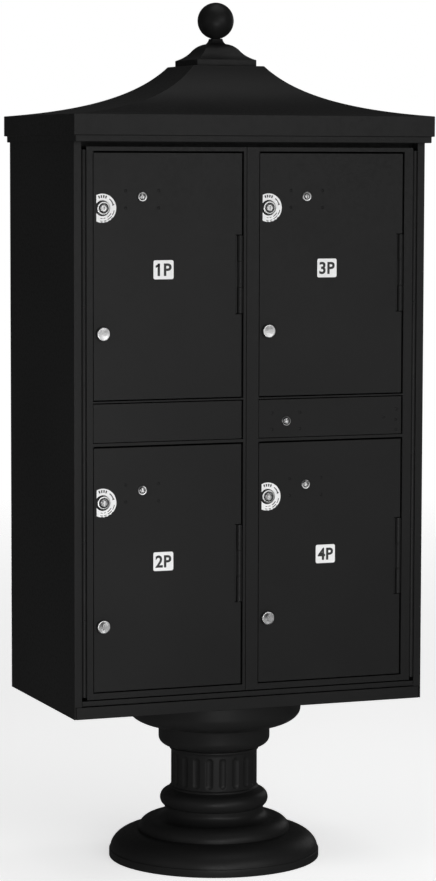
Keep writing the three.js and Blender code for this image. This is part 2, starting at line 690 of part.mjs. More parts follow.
function parcelHinge(onDoor) {
  const windowEdge = doorW + DOOR_GAP_RIGHT - FIT;
  const leafY = DOOR_SHEET + FIT;
  const plate = onDoor
    ? [doorW - NOTCH_W - LEAF_W, hingeX, leafY, leafY + LEAF_T]
    : [windowEdge - LEAF_T, windowEdge, HINGE_SETBACK, DOOR_D];
  return hingeLeaf(hingeX, HINGE_SETBACK, hingeZ, HINGE_L, PARCEL_KNUCKLES, onDoor ? 1 : 0,
    HINGE_R, HINGE_PIN_R, plate);
}

function parcelHingePin() {
  return barZ(hingeX, HINGE_SETBACK, HINGE_PIN_R, hingeZ, hingeZ + HINGE_L, 10);
}

function pullKnob() {
  const neckR = KNOB_R * 0.64;
  const nutR = 2 * KNOB_STEM_R;
  const behind = DOOR_SHEET + FIT;
  return turnedY([
    [0, -KNOB_H], [KNOB_R - 1.5, -KNOB_H], [KNOB_R, -KNOB_H + 1.5], [KNOB_R, -2], [neckR, -2],
    [neckR, -FIT], [KNOB_STEM_R, -FIT], [KNOB_STEM_R, behind], [nutR, behind], [nutR, behind + 4],
    [0, behind + 4],
  ]);
}

// Lock plug about its own axis, door face at y = 0, with a keyway and, where asked, a tail for a cam.
function lockPlug(r, length, tailed = true) {
  const end = tailed ? [[TAIL_R, length], [TAIL_R, length + TAIL_L], [0, length + TAIL_L]] : [[0, length]];
  const edge = 0.6;
  const plug = turnedY([
    [0, -PLUG_PROUD], [r - edge, -PLUG_PROUD], [r, -PLUG_PROUD + edge], [r, length], ...end,
  ]);
  return plug.subtract(box(-KEYWAY_W / 2, KEYWAY_W / 2, -PLUG_PROUD - 1, -PLUG_PROUD + KEYWAY_D,
    -KEYWAY_H / 2, KEYWAY_H / 2));
}

// Cam hanging down from the plug's tail, clear of the frame, as it is when unlocked.
function lockCam() {
  const w = CAM_W / 2;
  const shape = new THREE.Shape();
  shape.moveTo(w, 0);
  shape.absarc(0, 0, w, 0, Math.PI, false);
  shape.lineTo(-w, -CAM_REACH + w);
  shape.absarc(0, -CAM_REACH + w, w, Math.PI, 2 * Math.PI, false);
  const plate = throughY(shape, camY, camY + CAM_T, 6);
  return plate.subtract(barY(0, 0, TAIL_R + FIT, camY - 1, camY + CAM_T + 1, 12));
}

// ---------------------------------------------------------------- assembly
const unit = new THREE.Group();

const pedestal = new THREE.Group();
piece(pedestal, 'pedestal_post', pedestalPost(), ZINC);
const shell = coverShell();
piece(pedestal, 'pedestal_cover_front', coverHalf(shell, -1), BLACK_COAT);
piece(pedestal, 'pedestal_cover_rear', coverHalf(shell, 1), BLACK_COAT);
unit.add(pedestal);

const cabinet = new THREE.Group();
cabinet.position.z = PEDESTAL_H;
piece(cabinet, 'side_panel_left', sidePanel(-1), BLACK_COAT);
piece(cabinet, 'side_panel_right', sidePanel(1), BLACK_COAT);
const backHalf = halfW - WALL - FIT;
piece(cabinet, 'back_panel', box(-backHalf, backHalf, back - WALL, back, 0, CABINET_H), BLACK_COAT);
piece(cabinet, 'top_panel', topPanel(), INNER_COAT);
piece(cabinet, 'bottom_pan', bottomPan(), BLACK_COAT);
piece(cabinet, 'sill_rail', sillRail(), BLACK_COAT);
piece(cabinet, 'compartment_floor', shelf(floorZ, false), INNER_COAT);
piece(cabinet, 'shelf_lower', shelf(lowerShelfZ, true), INNER_COAT);
piece(cabinet, 'shelf_upper', shelf(upperShelfZ, true), INNER_COAT);
piece(cabinet, 'centre_partition', centrePartition(), INNER_COAT);
piece(cabinet, 'roof_cap', roofCap(), BLACK_COAT);
piece(cabinet, 'finial_base', finialBase(), BLACK_COAT);
piece(cabinet, 'finial_ball', finialBall(), BLACK_COAT);
for (const [name, side] of [['left', -1], ['right', 1]]) {
  piece(cabinet, `main_hinge_${name}_jamb_leaf`, mainHinge(side, false), BLACK_COAT);
  piece(cabinet, `main_hinge_${name}_door_leaf`, mainHinge(side, true), BLACK_COAT);
  piece(cabinet, `main_hinge_${name}_pin`, mainHingePin(side), STEEL);
}
const leftWindowX = mainLeft + STILE_LEFT;
const rightWindowX = meetRight + STILE_MEET_RIGHT;
piece(cabinet, 'main_door_left', mainFrame(mainLeft, meetLeft, leftWindowX), BLACK_COAT);
piece(cabinet, 'main_door_right', mainFrame(meetRight, mainRight, rightWindowX), BLACK_COAT);
unit.add(cabinet);

const rightPanelX = rightWindowX + PANEL_GAP_LEFT;
for (const [name, windowX, locked] of [['left', leftWindowX, false], ['right', rightWindowX, true]]) {
  const panel = piece(cabinet, `middle_panel_${name}`, middlePanel(locked), BLACK_COAT);
  panel.position.set(windowX + PANEL_GAP_LEFT, front, bandZ + PANEL_GAP_BOTTOM);
}
const lockZ = bandZ + PANEL_GAP_BOTTOM + masterLockRise;
for (const [name, body] of [['master_lock_rotor', masterRotor()], ['latch_bar', latchBar()]]) {
  piece(cabinet, name, body, ZINC).position.set(rightPanelX + MASTER_LOCK_X, front, lockZ);
}

// Compartments 1 and 2 are in the left column, 3 and 4 in the right, the odd ones above.
for (let n = 1; n <= 4; n++) {
  const windowX = n <= 2 ? leftWindowX : rightWindowX;
  const windowZ = n % 2 ? upperWindowZ : lowerWindowZ;
  const unitDoor = new THREE.Group();
  unitDoor.position.set(windowX + DOOR_GAP_LEFT, front, windowZ + DOOR_GAP_BOTTOM);
  piece(unitDoor, `parcel_door_${n}`, parcelDoor(), BLACK_COAT);
  piece(unitDoor, `parcel_hinge_${n}_door_leaf`, parcelHinge(true), BLACK_COAT);
  piece(unitDoor, `parcel_hinge_${n}_frame_leaf`, parcelHinge(false), BLACK_COAT);
  piece(unitDoor, `parcel_hinge_${n}_pin`, parcelHingePin(), STEEL);
  piece(unitDoor, `pull_knob_${n}`, pullKnob(), STEEL).position.set(KNOB_X, 0, KNOB_Z);
  const [userX, userZ] = userLock;
  piece(unitDoor, `customer_lock_${n}_plug`, lockPlug(USER_PLUG_R, MAIN_D + 0.6), ZINC)
    .position.set(userX, 0, userZ);
  piece(unitDoor, `customer_lock_${n}_cam`, lockCam(), BRASS).position.set(userX, 0, userZ);
  const [carrierX, carrierZ] = carrierLock;
  piece(unitDoor, `carrier_lock_${n}_rotor`, lockPlug(CARRIER_PLUG_R, MAIN_D, false), ZINC)
    .position.set(carrierX, 0, carrierZ);
  cabinet.add(unitDoor);
}

export default unit;
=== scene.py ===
# %% [markdown]
# # A cluster mailbox on a pedestal
#
# The real object is a cabinet of folded aluminium sheet with two large doors, and four lockable
# parcel doors hung inside them. A concave hipped cap with a ball stands on top, and a turned cover
# hides the steel post below. Everything outside wears one satin black powder coat.
#
# It could be drawn from nothing here, but the hinges and locks only work at exact places. So the
# lesson starts from the engineer's frame: its nodes say where every part is, and each cell below
# dresses one of them, or makes the finer piece that takes its place.

# %% Load the frame
import json
import math

import bmesh
import bpy
from mathutils import Matrix, Vector

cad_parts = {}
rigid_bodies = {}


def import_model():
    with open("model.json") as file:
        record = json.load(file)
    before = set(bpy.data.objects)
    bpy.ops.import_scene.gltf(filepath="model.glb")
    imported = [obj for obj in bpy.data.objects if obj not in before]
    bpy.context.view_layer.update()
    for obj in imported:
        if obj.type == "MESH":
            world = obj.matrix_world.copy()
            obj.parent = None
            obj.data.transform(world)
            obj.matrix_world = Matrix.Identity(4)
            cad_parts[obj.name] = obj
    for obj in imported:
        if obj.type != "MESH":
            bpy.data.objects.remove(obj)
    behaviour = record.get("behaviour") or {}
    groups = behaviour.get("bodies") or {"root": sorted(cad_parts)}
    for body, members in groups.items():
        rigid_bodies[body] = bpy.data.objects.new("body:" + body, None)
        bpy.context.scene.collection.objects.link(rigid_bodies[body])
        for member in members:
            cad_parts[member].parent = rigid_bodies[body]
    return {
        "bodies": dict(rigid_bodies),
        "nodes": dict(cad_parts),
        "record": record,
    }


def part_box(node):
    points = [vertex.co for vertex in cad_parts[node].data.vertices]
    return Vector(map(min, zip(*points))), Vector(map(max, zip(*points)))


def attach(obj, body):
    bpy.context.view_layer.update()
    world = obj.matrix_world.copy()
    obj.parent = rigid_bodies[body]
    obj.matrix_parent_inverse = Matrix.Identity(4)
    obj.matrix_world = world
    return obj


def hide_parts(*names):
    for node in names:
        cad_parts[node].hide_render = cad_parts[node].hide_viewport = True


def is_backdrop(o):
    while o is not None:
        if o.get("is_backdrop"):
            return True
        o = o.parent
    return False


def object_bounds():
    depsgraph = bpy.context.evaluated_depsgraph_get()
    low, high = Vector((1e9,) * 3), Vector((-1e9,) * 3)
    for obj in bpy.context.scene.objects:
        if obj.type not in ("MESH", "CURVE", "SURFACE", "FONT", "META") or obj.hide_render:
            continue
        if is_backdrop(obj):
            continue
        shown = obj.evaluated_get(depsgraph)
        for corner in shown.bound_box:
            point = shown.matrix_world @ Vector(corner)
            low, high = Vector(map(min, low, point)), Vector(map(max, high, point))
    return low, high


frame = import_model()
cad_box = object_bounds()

# %% [markdown]
# ## Millimetres, and three questions for the frame
#
# Sheet metal is bought and folded in millimetres, while Blender's frame is in metres. One way is to
# write every size in metres, with three zeros each. Drawing in millimetres and scaling once, as a
# piece is finished, keeps the numbers readable. Each node can also say which body carries it, which
# finish it has, and where its middle is.

# %% Units and questions
MM = 0.001
FULL_TURN = 2 * math.pi
carried_by = {holder: name for name, holder in frame["bodies"].items()}
slots = {part["node"]: part["material_slot"] for part in frame["record"]["subparts"]}


def box_mm(node):
    """Lowest and highest corner of a node, in millimetres."""
    low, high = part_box(node)
    return low / MM, high / MM


def middle_mm(node):
    low, high = box_mm(node)
    return (low + high) / 2


def body_of(node):
    return carried_by[frame["nodes"][node].parent]


for node in ("roof_cap", "main_door_left", "parcel_door_1", "pull_knob_1"):
    low, high = box_mm(node)
    print(node, "rides on", body_of(node), "and measures", [round(v, 1) for v in high - low])

# %% [markdown]
# ## Camera
#
# The unit is seen from a little to its left, from chest height, through a long lens that keeps the
# uprights nearly parallel. A tracking constraint could aim the camera. Three plain turns are clearer:
# up from looking straight down, round to the heading, and a hair of roll.

# %% Camera
CAMERA_PLACE = (-2.3269, -6.0532, 1.4882)
HEADING = math.radians(21.09)
PITCH = math.radians(-5.21)
ROLL = math.radians(0.14)
LENS = 124.7

camera_data = bpy.data.cameras.new("camera")
camera_data.lens = LENS
camera_data.sensor_width = 36
camera = bpy.data.objects.new("camera", camera_data)
camera.matrix_world = (
    Matrix.Translation(CAMERA_PLACE)
    @ Matrix.Rotation(-HEADING, 4, "Z")
    @ Matrix.Rotation(math.pi / 2 + PITCH, 4, "X")
    @ Matrix.Rotation(ROLL, 4, "Z")
)
bpy.context.scene.collection.objects.link(camera)
bpy.context.scene.camera = camera
print("camera stands", round(Vector(CAMERA_PLACE[:2]).length, 2), "m from the unit")

# %% [markdown]
# ## Node groups: effects that finishes share
#
# Powder coat, bare metal and plastic look different, but some effects come back in all of them:
# the orange peel that a sprayed or moulded skin dries with, slow drifts of tone across a sheet, and
# the fine rings that a lathe leaves. Copying the nodes into each material would work. A node group
# with named inputs and outputs is built once and placed with other values each time.

# %% Group helpers
def new_group(name, inputs, outputs):
    """An empty shader group; inputs are (name, default) pairs and outputs are names."""
    tree = bpy.data.node_groups.new(name, "ShaderNodeTree")
    tree.interface.new_socket("Vector", in_out="INPUT", socket_type="NodeSocketVector")
    for label, default in inputs:
        socket = tree.interface.new_socket(label, in_out="INPUT", socket_type="NodeSocketFloat")
        socket.default_value = default
    for label in outputs:
        tree.interface.new_socket(label, in_out="OUTPUT", socket_type="NodeSocketFloat")
    return tree, tree.nodes.new("NodeGroupInput"), tree.nodes.new("NodeGroupOutput")


def noise(tree, vector, scale, detail):
    """A noise texture in a tree. The scale is a number or a socket."""
    node = tree.nodes.new("ShaderNodeTexNoise")
    tree.links.new(vector, node.inputs["Vector"])
    node.inputs["Detail"].default_value = detail
    if isinstance(scale, (int, float)):
        node.inputs["Scale"].default_value = scale
    else:
        tree.links.new(scale, node.inputs["Scale"])
    return node.outputs["Fac"]


def spread(tree, value, low, high, to_low=0.0, to_high=1.0):
    """Stretches the part of a value between low and high over a new range."""
    node = tree.nodes.new("ShaderNodeMapRange")
    tree.links.new(value, node.inputs["Value"])
    for label, number in zip(("From Min", "From Max", "To Min", "To Max"), (low, high, to_low, to_high)):
        node.inputs[label].default_value = number
    return node.outputs["Result"]


# %% Sprayed skin group
skin_group, skin_in, skin_out = new_group(
    "sprayed skin", [("Peel Scale", 700.0), ("Drift Scale", 3.0)], ["Height", "Drift", "Fleck"])
skin_vector = skin_in.outputs["Vector"]
peel = noise(skin_group, skin_vector, skin_in.outputs["Peel Scale"], 1.5)
drift = noise(skin_group, skin_vector, skin_in.outputs["Drift Scale"], 3.0)
fleck = noise(skin_group, skin_vector, 160.0, 1.0)
skin_group.links.new(peel, skin_out.inputs["Height"])
skin_group.links.new(spread(skin_group, drift, 0.35, 0.65), skin_out.inputs["Drift"])
skin_group.links.new(spread(skin_group, fleck, 0.42, 0.7), skin_out.inputs["Fleck"])
print("sprayed skin group:", len(skin_group.nodes), "nodes")

# %% Turned rings group
rings_group, rings_in, rings_out = new_group(
    "turned rings", [("Lines per mm", 3.0), ("Smear", 9.0)], ["Height", "Streak"])
parts = rings_group.nodes.new("ShaderNodeSeparateXYZ")
rings_group.links.new(rings_in.outputs["Vector"], parts.inputs["Vector"])
stretched = rings_group.nodes.new("ShaderNodeCombineXYZ")
rings_group.links.new(parts.outputs["Y"], stretched.inputs["X"])
lines = noise(rings_group, stretched.outputs["Vector"], rings_in.outputs["Lines per mm"], 3.0)
smear = noise(rings_group, rings_in.outputs["Vector"], rings_in.outputs["Smear"], 2.0)
rings_group.links.new(lines, rings_out.inputs["Height"])
rings_group.links.new(spread(rings_group, smear, 0.3, 0.7), rings_out.inputs["Streak"])
print("turned rings group:", len(rings_group.nodes), "nodes")

# %% [markdown]
# ## Finishes
#
# Each finish is one material, named as the maker's list names it. The Principled shader stays in the
# material, and numbers that hold all over a surface are typed on its own sockets. Only what varies is
# linked: a colour between two near tones, a roughness between two values, and a bump height.

# %% Finish helper
def new_finish(name, tones, roughness, peel_scale, peel_depth, drift_scale=3.0, **constants):
    """A sprayed, plated or moulded finish on object coordinates."""
    finish = bpy.data.materials.new(name)
    finish.use_nodes = True
    tree = finish.node_tree
    shader = tree.nodes["Principled BSDF"]
    for label, number in constants.items():
        shader.inputs[label.replace("_", " ")].default_value = number
    place = tree.nodes.new("ShaderNodeTexCoord").outputs["Object"]
    skin = tree.nodes.new("ShaderNodeGroup")
    skin.node_tree = skin_group
    skin.inputs["Peel Scale"].default_value = peel_scale
    skin.inputs["Drift Scale"].default_value = drift_scale
    tree.links.new(place, skin.inputs["Vector"])
    blend = tree.nodes.new("ShaderNodeMix")
    blend.data_type = "RGBA"
    tree.links.new(skin.outputs["Drift"], blend.inputs["Factor"])
    blend.inputs["A"].default_value = (*tones[0], 1)
    blend.inputs["B"].default_value = (*tones[1], 1)
    tree.links.new(blend.outputs["Result"], shader.inputs["Base Color"])
    rough = spread(tree, skin.outputs["Fleck"], 0, 1, *roughness)
    tree.links.new(rough, shader.inputs["Roughness"])
    bump = tree.nodes.new("ShaderNodeBump")
    bump.inputs["Strength"].default_value = 0.5
    bump.inputs["Distance"].default_value = peel_depth
    tree.links.new(skin.outputs["Height"], bump.inputs["Height"])
    tree.links.new(bump.outputs["Normal"], shader.inputs["Normal"])
    return finish


def grey(value, warmth=0.0):
    return (value * (1 + warmth), value, value * (1 - warmth))


# %% Finishes
finishes = {
    "black_coat": new_finish("black_coat", (grey(0.0105), grey(0.0125)), (0.40, 0.48), 650, 0.00006,
                             Specular_IOR_Level=0.14),
    "inner_coat": new_finish("inner_coat", (grey(0.006), grey(0.008)), (0.5, 0.6), 800, 0.00005,
                             Specular_IOR_Level=0.12),
    "bright_zinc": new_finish("bright_zinc", (grey(0.42, 0.03), grey(0.55, 0.01)), (0.3, 0.46), 900, 0.00003,
                              drift_scale=60, Metallic=1.0),
    "cam_brass": new_finish("cam_brass", ((0.58, 0.4, 0.16), (0.44, 0.3, 0.12)), (0.28, 0.45), 900, 0.00003,
                            drift_scale=90, Metallic=1.0),
    "white_label": new_finish("white_label", (grey(0.82), grey(0.86)), (0.32, 0.4), 900, 0.00002,
                              drift_scale=40),
    "black_print": new_finish("black_print", (grey(0.012), grey(0.02)), (0.5, 0.65), 1200, 0.00003,
                              drift_scale=50),
}
print("finishes:", ", ".join(finishes))

# %% [markdown]
# ## Turned steel
#
# Knobs and lock rings are faced on a lathe, so their grain runs in circles round their own axis.
# Object coordinates can't follow that. Each turned piece carries its own UV map instead, with the
# angle across and the radius in millimetres upwards, and the rings read the radius. The same map
# gives the shader its tangent, so highlights stretch into the two bright wedges of a turned face.

# %% Turned steel
def new_turned_finish(name, tones, roughness):
    finish = bpy.data.materials.new(name)
    finish.use_nodes = True
    tree = finish.node_tree
    shader = tree.nodes["Principled BSDF"]
    shader.inputs["Metallic"].default_value = 1.0
    shader.inputs["Anisotropic"].default_value = 0.75
    unwrapped = tree.nodes.new("ShaderNodeUVMap")
    unwrapped.uv_map = "turned"
    rings = tree.nodes.new("ShaderNodeGroup")
    rings.node_tree = rings_group
    tree.links.new(unwrapped.outputs["UV"], rings.inputs["Vector"])
    blend = tree.nodes.new("ShaderNodeMix")
    blend.data_type = "RGBA"
    tree.links.new(rings.outputs["Height"], blend.inputs["Factor"])
    blend.inputs["A"].default_value = (*tones[0], 1)
    blend.inputs["B"].default_value = (*tones[1], 1)
    tree.links.new(blend.outputs["Result"], shader.inputs["Base Color"])
    tree.links.new(spread(tree, rings.outputs["Streak"], 0, 1, *roughness), shader.inputs["Roughness"])
    bump = tree.nodes.new("ShaderNodeBump")
    bump.inputs["Strength"].default_value = 0.4
    bump.inputs["Distance"].default_value = 0.00002
    tree.links.new(rings.outputs["Height"], bump.inputs["Height"])
    tree.links.new(bump.outputs["Normal"], shader.inputs["Normal"])
    tangent = tree.nodes.new("ShaderNodeTangent")
    tangent.direction_type = "UV_MAP"
    tangent.uv_map = "turned"
    tree.links.new(tangent.outputs["Tangent"], shader.inputs["Tangent"])
    return finish


finishes["brushed_steel"] = new_turned_finish("brushed_steel", (grey(0.42), grey(0.6)), (0.26, 0.38))
print("turned finish: brushed_steel")

# %% [markdown]
# ## Finishing a piece
#
# Every piece ends the same way: it is scaled to metres, shaded smooth with its hard edges kept, given
# its finish, and hung on the body that moves it. Sheet metal has no sharp edges, so most pieces also
# get a live bevel, and weighted normals keep their flat faces flat.

# %% Finishing helpers
CREASE = math.radians(35)


def finished(bm, name, body, slot, *replaced):
    """Makes a bmesh drawn in millimetres into a piece that rides on a body."""
    bmesh.ops.scale(bm, vec=(MM, MM, MM), verts=bm.verts)
    mesh = bpy.data.meshes.new(name)
    bm.to_mesh(mesh)
    bm.free()
    mesh.shade_smooth()
    mesh.set_sharp_from_angle(angle=CREASE)
    mesh.materials.append(finishes[slot])
    piece = bpy.data.objects.new(name, mesh)
    bpy.context.scene.collection.objects.link(piece)
    if replaced:
        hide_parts(*replaced)
    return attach(piece, body)


def rounded(piece, width, segments=2, by_weight=False):
    """Rounds a piece's sharp edges, or those with a bevel weight, by a live bevel."""
    bevel = piece.modifiers.new("rounded edges", "BEVEL")
    bevel.width = width * MM
    bevel.segments = segments
    bevel.limit_method = "WEIGHT" if by_weight else "ANGLE"
    bevel.angle_limit = CREASE
    bevel.harden_normals = False
    weighted = piece.modifiers.new("flat faces stay flat", "WEIGHTED_NORMAL")
    weighted.keep_sharp = False
    for edge in piece.data.edges:
        edge.use_edge_sharp = False
    return piece


def whole_mesh(node):
    """A merged copy of a node's triangles in millimetres, with its flat faces in one piece each."""
    bm = bmesh.new()
    bm.from_mesh(frame["nodes"][node].data)
    bmesh.ops.scale(bm, vec=(1 / MM,) * 3, verts=bm.verts)
    bmesh.ops.remove_doubles(bm, verts=bm.verts, dist=0.002)
    bmesh.ops.dissolve_limit(bm, angle_limit=math.radians(1), verts=bm.verts, edges=bm.edges)
    return bm


def softened(node, width):
    """A node's own shape with rounded edges, in the node's place."""
    piece = finished(whole_mesh(node), node + "_formed", body_of(node), slots[node], node)
    return rounded(piece, width)


# %% [markdown]
# ## Cabinet sheets
#
# The sides, back, tray and sill are single folded sheets. The nodes already have their folds and
# exact sizes, and only the knife edges give them away as drawings. Remodelling them would gain
# nothing, so each is copied, merged and given the bend radius of real sheet.

# %% Cabinet sheets
SHEET_EDGE = 0.9
for node in ("side_panel_left", "side_panel_right", "back_panel", "bottom_pan", "sill_rail", "top_panel"):
    sheet = softened(node, SHEET_EDGE)
    print(sheet.name, len(sheet.data.polygons), "faces")

THIN_EDGE = 0.4
for node in ("compartment_floor", "shelf_lower", "shelf_upper", "centre_partition"):
    softened(node, THIN_EDGE)
softened("pedestal_post", SHEET_EDGE)
print("shelves, partition and post softened")

# %% [markdown]
# ## Roof cap
#
# The cap is one drawn sheet: a stepped fascia, then four concave slopes that sweep up to a small
# flat. It is rectangular at every height, but wider than it is deep, so its hips don't run at 45
# degrees. Lofting between curves would do. Extruding one square loop, level by level, and placing
# each new loop by its own half width and reach, gives clean quads and one closed shell.

# %% Roof levels
CAP_SHELL = 3
CAP_SKIRT_H = 13
CAP_FASCIA_H = 42.5
CAP_STEP_IN = 5
CAP_LEDGE = 79
ROOF_STEPS = 28
SWEEP = (Vector((0, 1)), Vector((0.2, 0.37)), Vector((0.55, 0.11)), Vector((1, 0)))


def sweep_point(t):
    """Point of the roof's curve: share of the way out, share of the rise."""
    a, b, c, d = SWEEP
    return a * (1 - t) ** 3 + b * 3 * t * (1 - t) ** 2 + c * 3 * t * t * (1 - t) + d * t ** 3


def roof_levels(low, high, inset, foot, rise, skirt_top):
    """Loops of (half width, front, rear, height), from the flat at the top down to the skirt."""
    half, front, rear = high.x - inset, low.y + inset, high.y - inset
    flat = CAP_LEDGE - inset
    levels = []
    for step in range(ROOF_STEPS + 1):
        out, up = sweep_point(step / ROOF_STEPS)
        levels.append((flat + out * (half - flat), -flat + out * (front + flat),
                       flat + out * (rear - flat), foot + up * rise))
    for z, step_in in ((skirt_top, 0), (skirt_top, CAP_STEP_IN), (low.z, CAP_STEP_IN)):
        levels.append((half - step_in, front + step_in, rear - step_in, z))
    return levels


# %% Roof cap
def shell_of_loops(levels):
    """A closed body from square loops, extruded one after another and capped at both ends."""
    bm = bmesh.new()
    weight = bm.edges.layers.float.new("bevel_weight_edge")
    bmesh.ops.create_grid(bm, x_segments=1, y_segments=1, size=1)
    bmesh.ops.delete(bm, geom=bm.faces[:], context="FACES_ONLY")
    loop = bm.edges[:]

    def place(verts, level):
        half, front, rear, z = level
        for v in verts:
            v.co = (math.copysign(half, v.co.x), rear if v.co.y > 0 else front, z)

    place(bm.verts, levels[0])
    bmesh.ops.contextual_create(bm, geom=loop)
    for level in levels[1:]:
        grown = bmesh.ops.extrude_edge_only(bm, edges=loop)["geom"]
        loop = [g for g in grown if isinstance(g, bmesh.types.BMEdge)]
        place({v for e in loop for v in e.verts}, level)
    bmesh.ops.contextual_create(bm, geom=loop)
    bmesh.ops.recalc_face_normals(bm, faces=bm.faces)
    for edge in bm.edges:
        a, b = edge.verts
        level_edge = abs(a.co.x - b.co.x) < 0.01 or abs(a.co.y - b.co.y) < 0.01
        if edge.calc_face_angle() > CREASE or not level_edge:
            edge[weight] = 1.0
    return bm


low, high = box_mm("roof_cap")
skirt_top = low.z + CAP_SKIRT_H
foot = skirt_top + CAP_FASCIA_H
outside = roof_levels(low, high, 0, foot, high.z - foot, skirt_top)
inside = roof_levels(low, high, CAP_SHELL, foot - CAP_SHELL, high.z - foot - 1, skirt_top + CAP_SHELL)
roof = finished(shell_of_loops(outside + inside[::-1]), "roof_cap_pressed", "cabinet", "black_coat",
                "roof_cap")
rounded(roof, 1.2, 3, by_weight=True)
print("roof cap:", len(roof.data.polygons), "faces")

# %% [markdown]
# ## Finial
#
# The ball sits on a square block whose sides roll from hollow to swell and end in a flared neck.
# The block is cast, so it is made as the roof was, from square loops on a smooth line. The ball is
# turned: an arc spun round the axis, which starts on the flat where it is screwed to the neck.

# %% Finial base
low, high = box_mm("finial_base")
PLINTH_HALF = high.x
PLINTH_H = 12.5
OGEE = ((66.5, 0), (48.5, 6.5), (38, 22.1), (29, 32.5), (16.7, 34.5), (12.4, 38.5), (11.4, 45.5))


def bow(a, b, c, steps):
    """Points of a quadratic curve from a to c, pulled towards b."""
    a, b, c = Vector(a), Vector(b), Vector(c)
    shares = [i / steps for i in range(1, steps + 1)]
    return [a * (1 - t) ** 2 + b * 2 * t * (1 - t) + c * t * t for t in shares]


side_line = [Vector((PLINTH_HALF, -PLINTH_H)), Vector(OGEE[0])]
for i in (0, 2, 4):
    side_line += bow(OGEE[i], OGEE[i + 1], OGEE[i + 2], 8)
levels = [(x, -x, x, low.z + PLINTH_H + z) for x, z in side_line]
base = finished(shell_of_loops(levels), "finial_base_cast", "cabinet", "black_coat", "finial_base")
rounded(base, 0.8, 2, by_weight=True)
print("finial base:", len(base.data.polygons), "faces")

# %% Turning helper
def turned(profile, steps):
    """Spins a line of (radius, height) round the Z axis and unwraps it as angle and radius."""
    bm = bmesh.new()
    line = [bm.verts.new((r, 0, h)) for r, h in profile]
    edges = [bm.edges.new(pair) for pair in zip(line, line[1:])]
    bmesh.ops.spin(bm, geom=line + edges, cent=(0, 0, 0), axis=(0, 0, 1), angle=FULL_TURN, steps=steps,
                   use_merge=True)
    bmesh.ops.remove_doubles(bm, verts=bm.verts, dist=0.0005)
    bmesh.ops.recalc_face_normals(bm, faces=bm.faces)
    unwrap = bm.loops.layers.uv.new("turned")
    for face in bm.faces:
        for corner in face.loops:
            x, y, _ = corner.vert.co
            corner[unwrap].uv = (math.atan2(y, x) / FULL_TURN, math.hypot(x, y))
    return bm


# %% Finial ball
low, high = box_mm("finial_ball")
ball_r = high.x
ball_z = high.z - ball_r
seat = math.acos((low.z - ball_z) / ball_r)
ARC_STEPS = 40
arc = [(ball_r * math.sin(seat * i / ARC_STEPS), ball_z + ball_r * math.cos(seat * i / ARC_STEPS))
       for i in range(ARC_STEPS + 1)]
arc[0] = (0, high.z)
ball = finished(turned(arc + [(0, low.z)], 96), "finial_ball_turned", "cabinet", "black_coat", "finial_ball")
print("ball radius:", round(ball_r, 1), "mm")

# %% [markdown]
# ## Pedestal cover
#
# Two cast half shells close round the steel post. Their line runs from a wide capital, through a
# bowl, a quarter round, a short fluted shaft and a torus, out to a broad foot in two swells. A
# surface line spun half a turn would be open. Here the whole wall is drawn as one closed outline and
# filled, and that face is spun, so each half comes out solid with its own cut ends. The flutes are
# pressed in last, by moving the shaft's points inwards along round-ended grooves.

# %% Pedestal outline
low, high = box_mm("pedestal_cover_front")
CAPITAL_R = 186
NECK_R = 119.5
SHAFT_R = 92.4
COVER_WALL = 4
FOOT_R = high.x
cover_top = high.z
COVER_PLAY = 0.3  # between the cover and the tray above it
RIM_H = 30
BOWL_H = 35
NECK_H = 28
SHAFT_DROP = 124
bowl_z = cover_top + COVER_PLAY - RIM_H
neck_z = bowl_z - BOWL_H
ovolo_z = neck_z - NECK_H
shaft_top = cover_top + COVER_PLAY - SHAFT_DROP
SHAFT_FOOT = 155
BEAD = 3.5
FLUTED_END = 22  # stretch at each end of the shaft that the flutes' rounded ends lie in
WALL_STEP = 1.4


def quarter(r, z, a, b, start, stop, steps):
    """Points along an ellipse about (r, z), with angles in degrees from straight outwards."""
    turns = [math.radians(start + (stop - start) * i / steps) for i in range(steps + 1)]
    return [(r + a * math.cos(t), z + b * math.sin(t)) for t in turns]


def climb(r, z0, z1, step):
    """Points up or down a straight wall."""
    count = max(1, round(abs(z1 - z0) / step))
    return [(r, z0 + (z1 - z0) * i / count) for i in range(count + 1)]


outer_line = [
    (CAPITAL_R, cover_top),
    *quarter(NECK_R + BEAD, bowl_z, CAPITAL_R - NECK_R - BEAD, BOWL_H, 0, -90, 20),
    *quarter(NECK_R, neck_z - 1.5, 1.5, 1.5, 60, -60, 4),
    (NECK_R, neck_z - 6),
    *quarter(SHAFT_R + 2, ovolo_z, NECK_R - SHAFT_R - 2, 20, 0, -90, 14),
    *quarter(SHAFT_R, ovolo_z - 25, BEAD, BEAD, 75, -75, 8),
    *climb(SHAFT_R, shaft_top, shaft_top - FLUTED_END, WALL_STEP),
    *climb(SHAFT_R, SHAFT_FOOT + FLUTED_END, SHAFT_FOOT, WALL_STEP),
    *quarter(SHAFT_R, SHAFT_FOOT - 4.5, BEAD, BEAD, 75, -30, 6),
    *quarter(97.2, 127, 19, 19, 75, -60, 20),  # torus
    *quarter(132, 103, -26, 17.6, 0, -90, 12),  # hollow flare
    *quarter(132, 59, 31, 26.4, 86, 0, 16),  # upper swell of the foot
    (163, 57.7),
    *quarter(167, 15.5, 57, 42.2, 90, 3, 20),  # lower swell of the foot
    *quarter(FOOT_R - 2, 15.5, 2, 2, 90, 0, 4),
    *quarter(FOOT_R - 1.5, 1.5, 1.5, 1.5, 0, -90, 3),
]
bore = SHAFT_R - COVER_WALL - 3.2
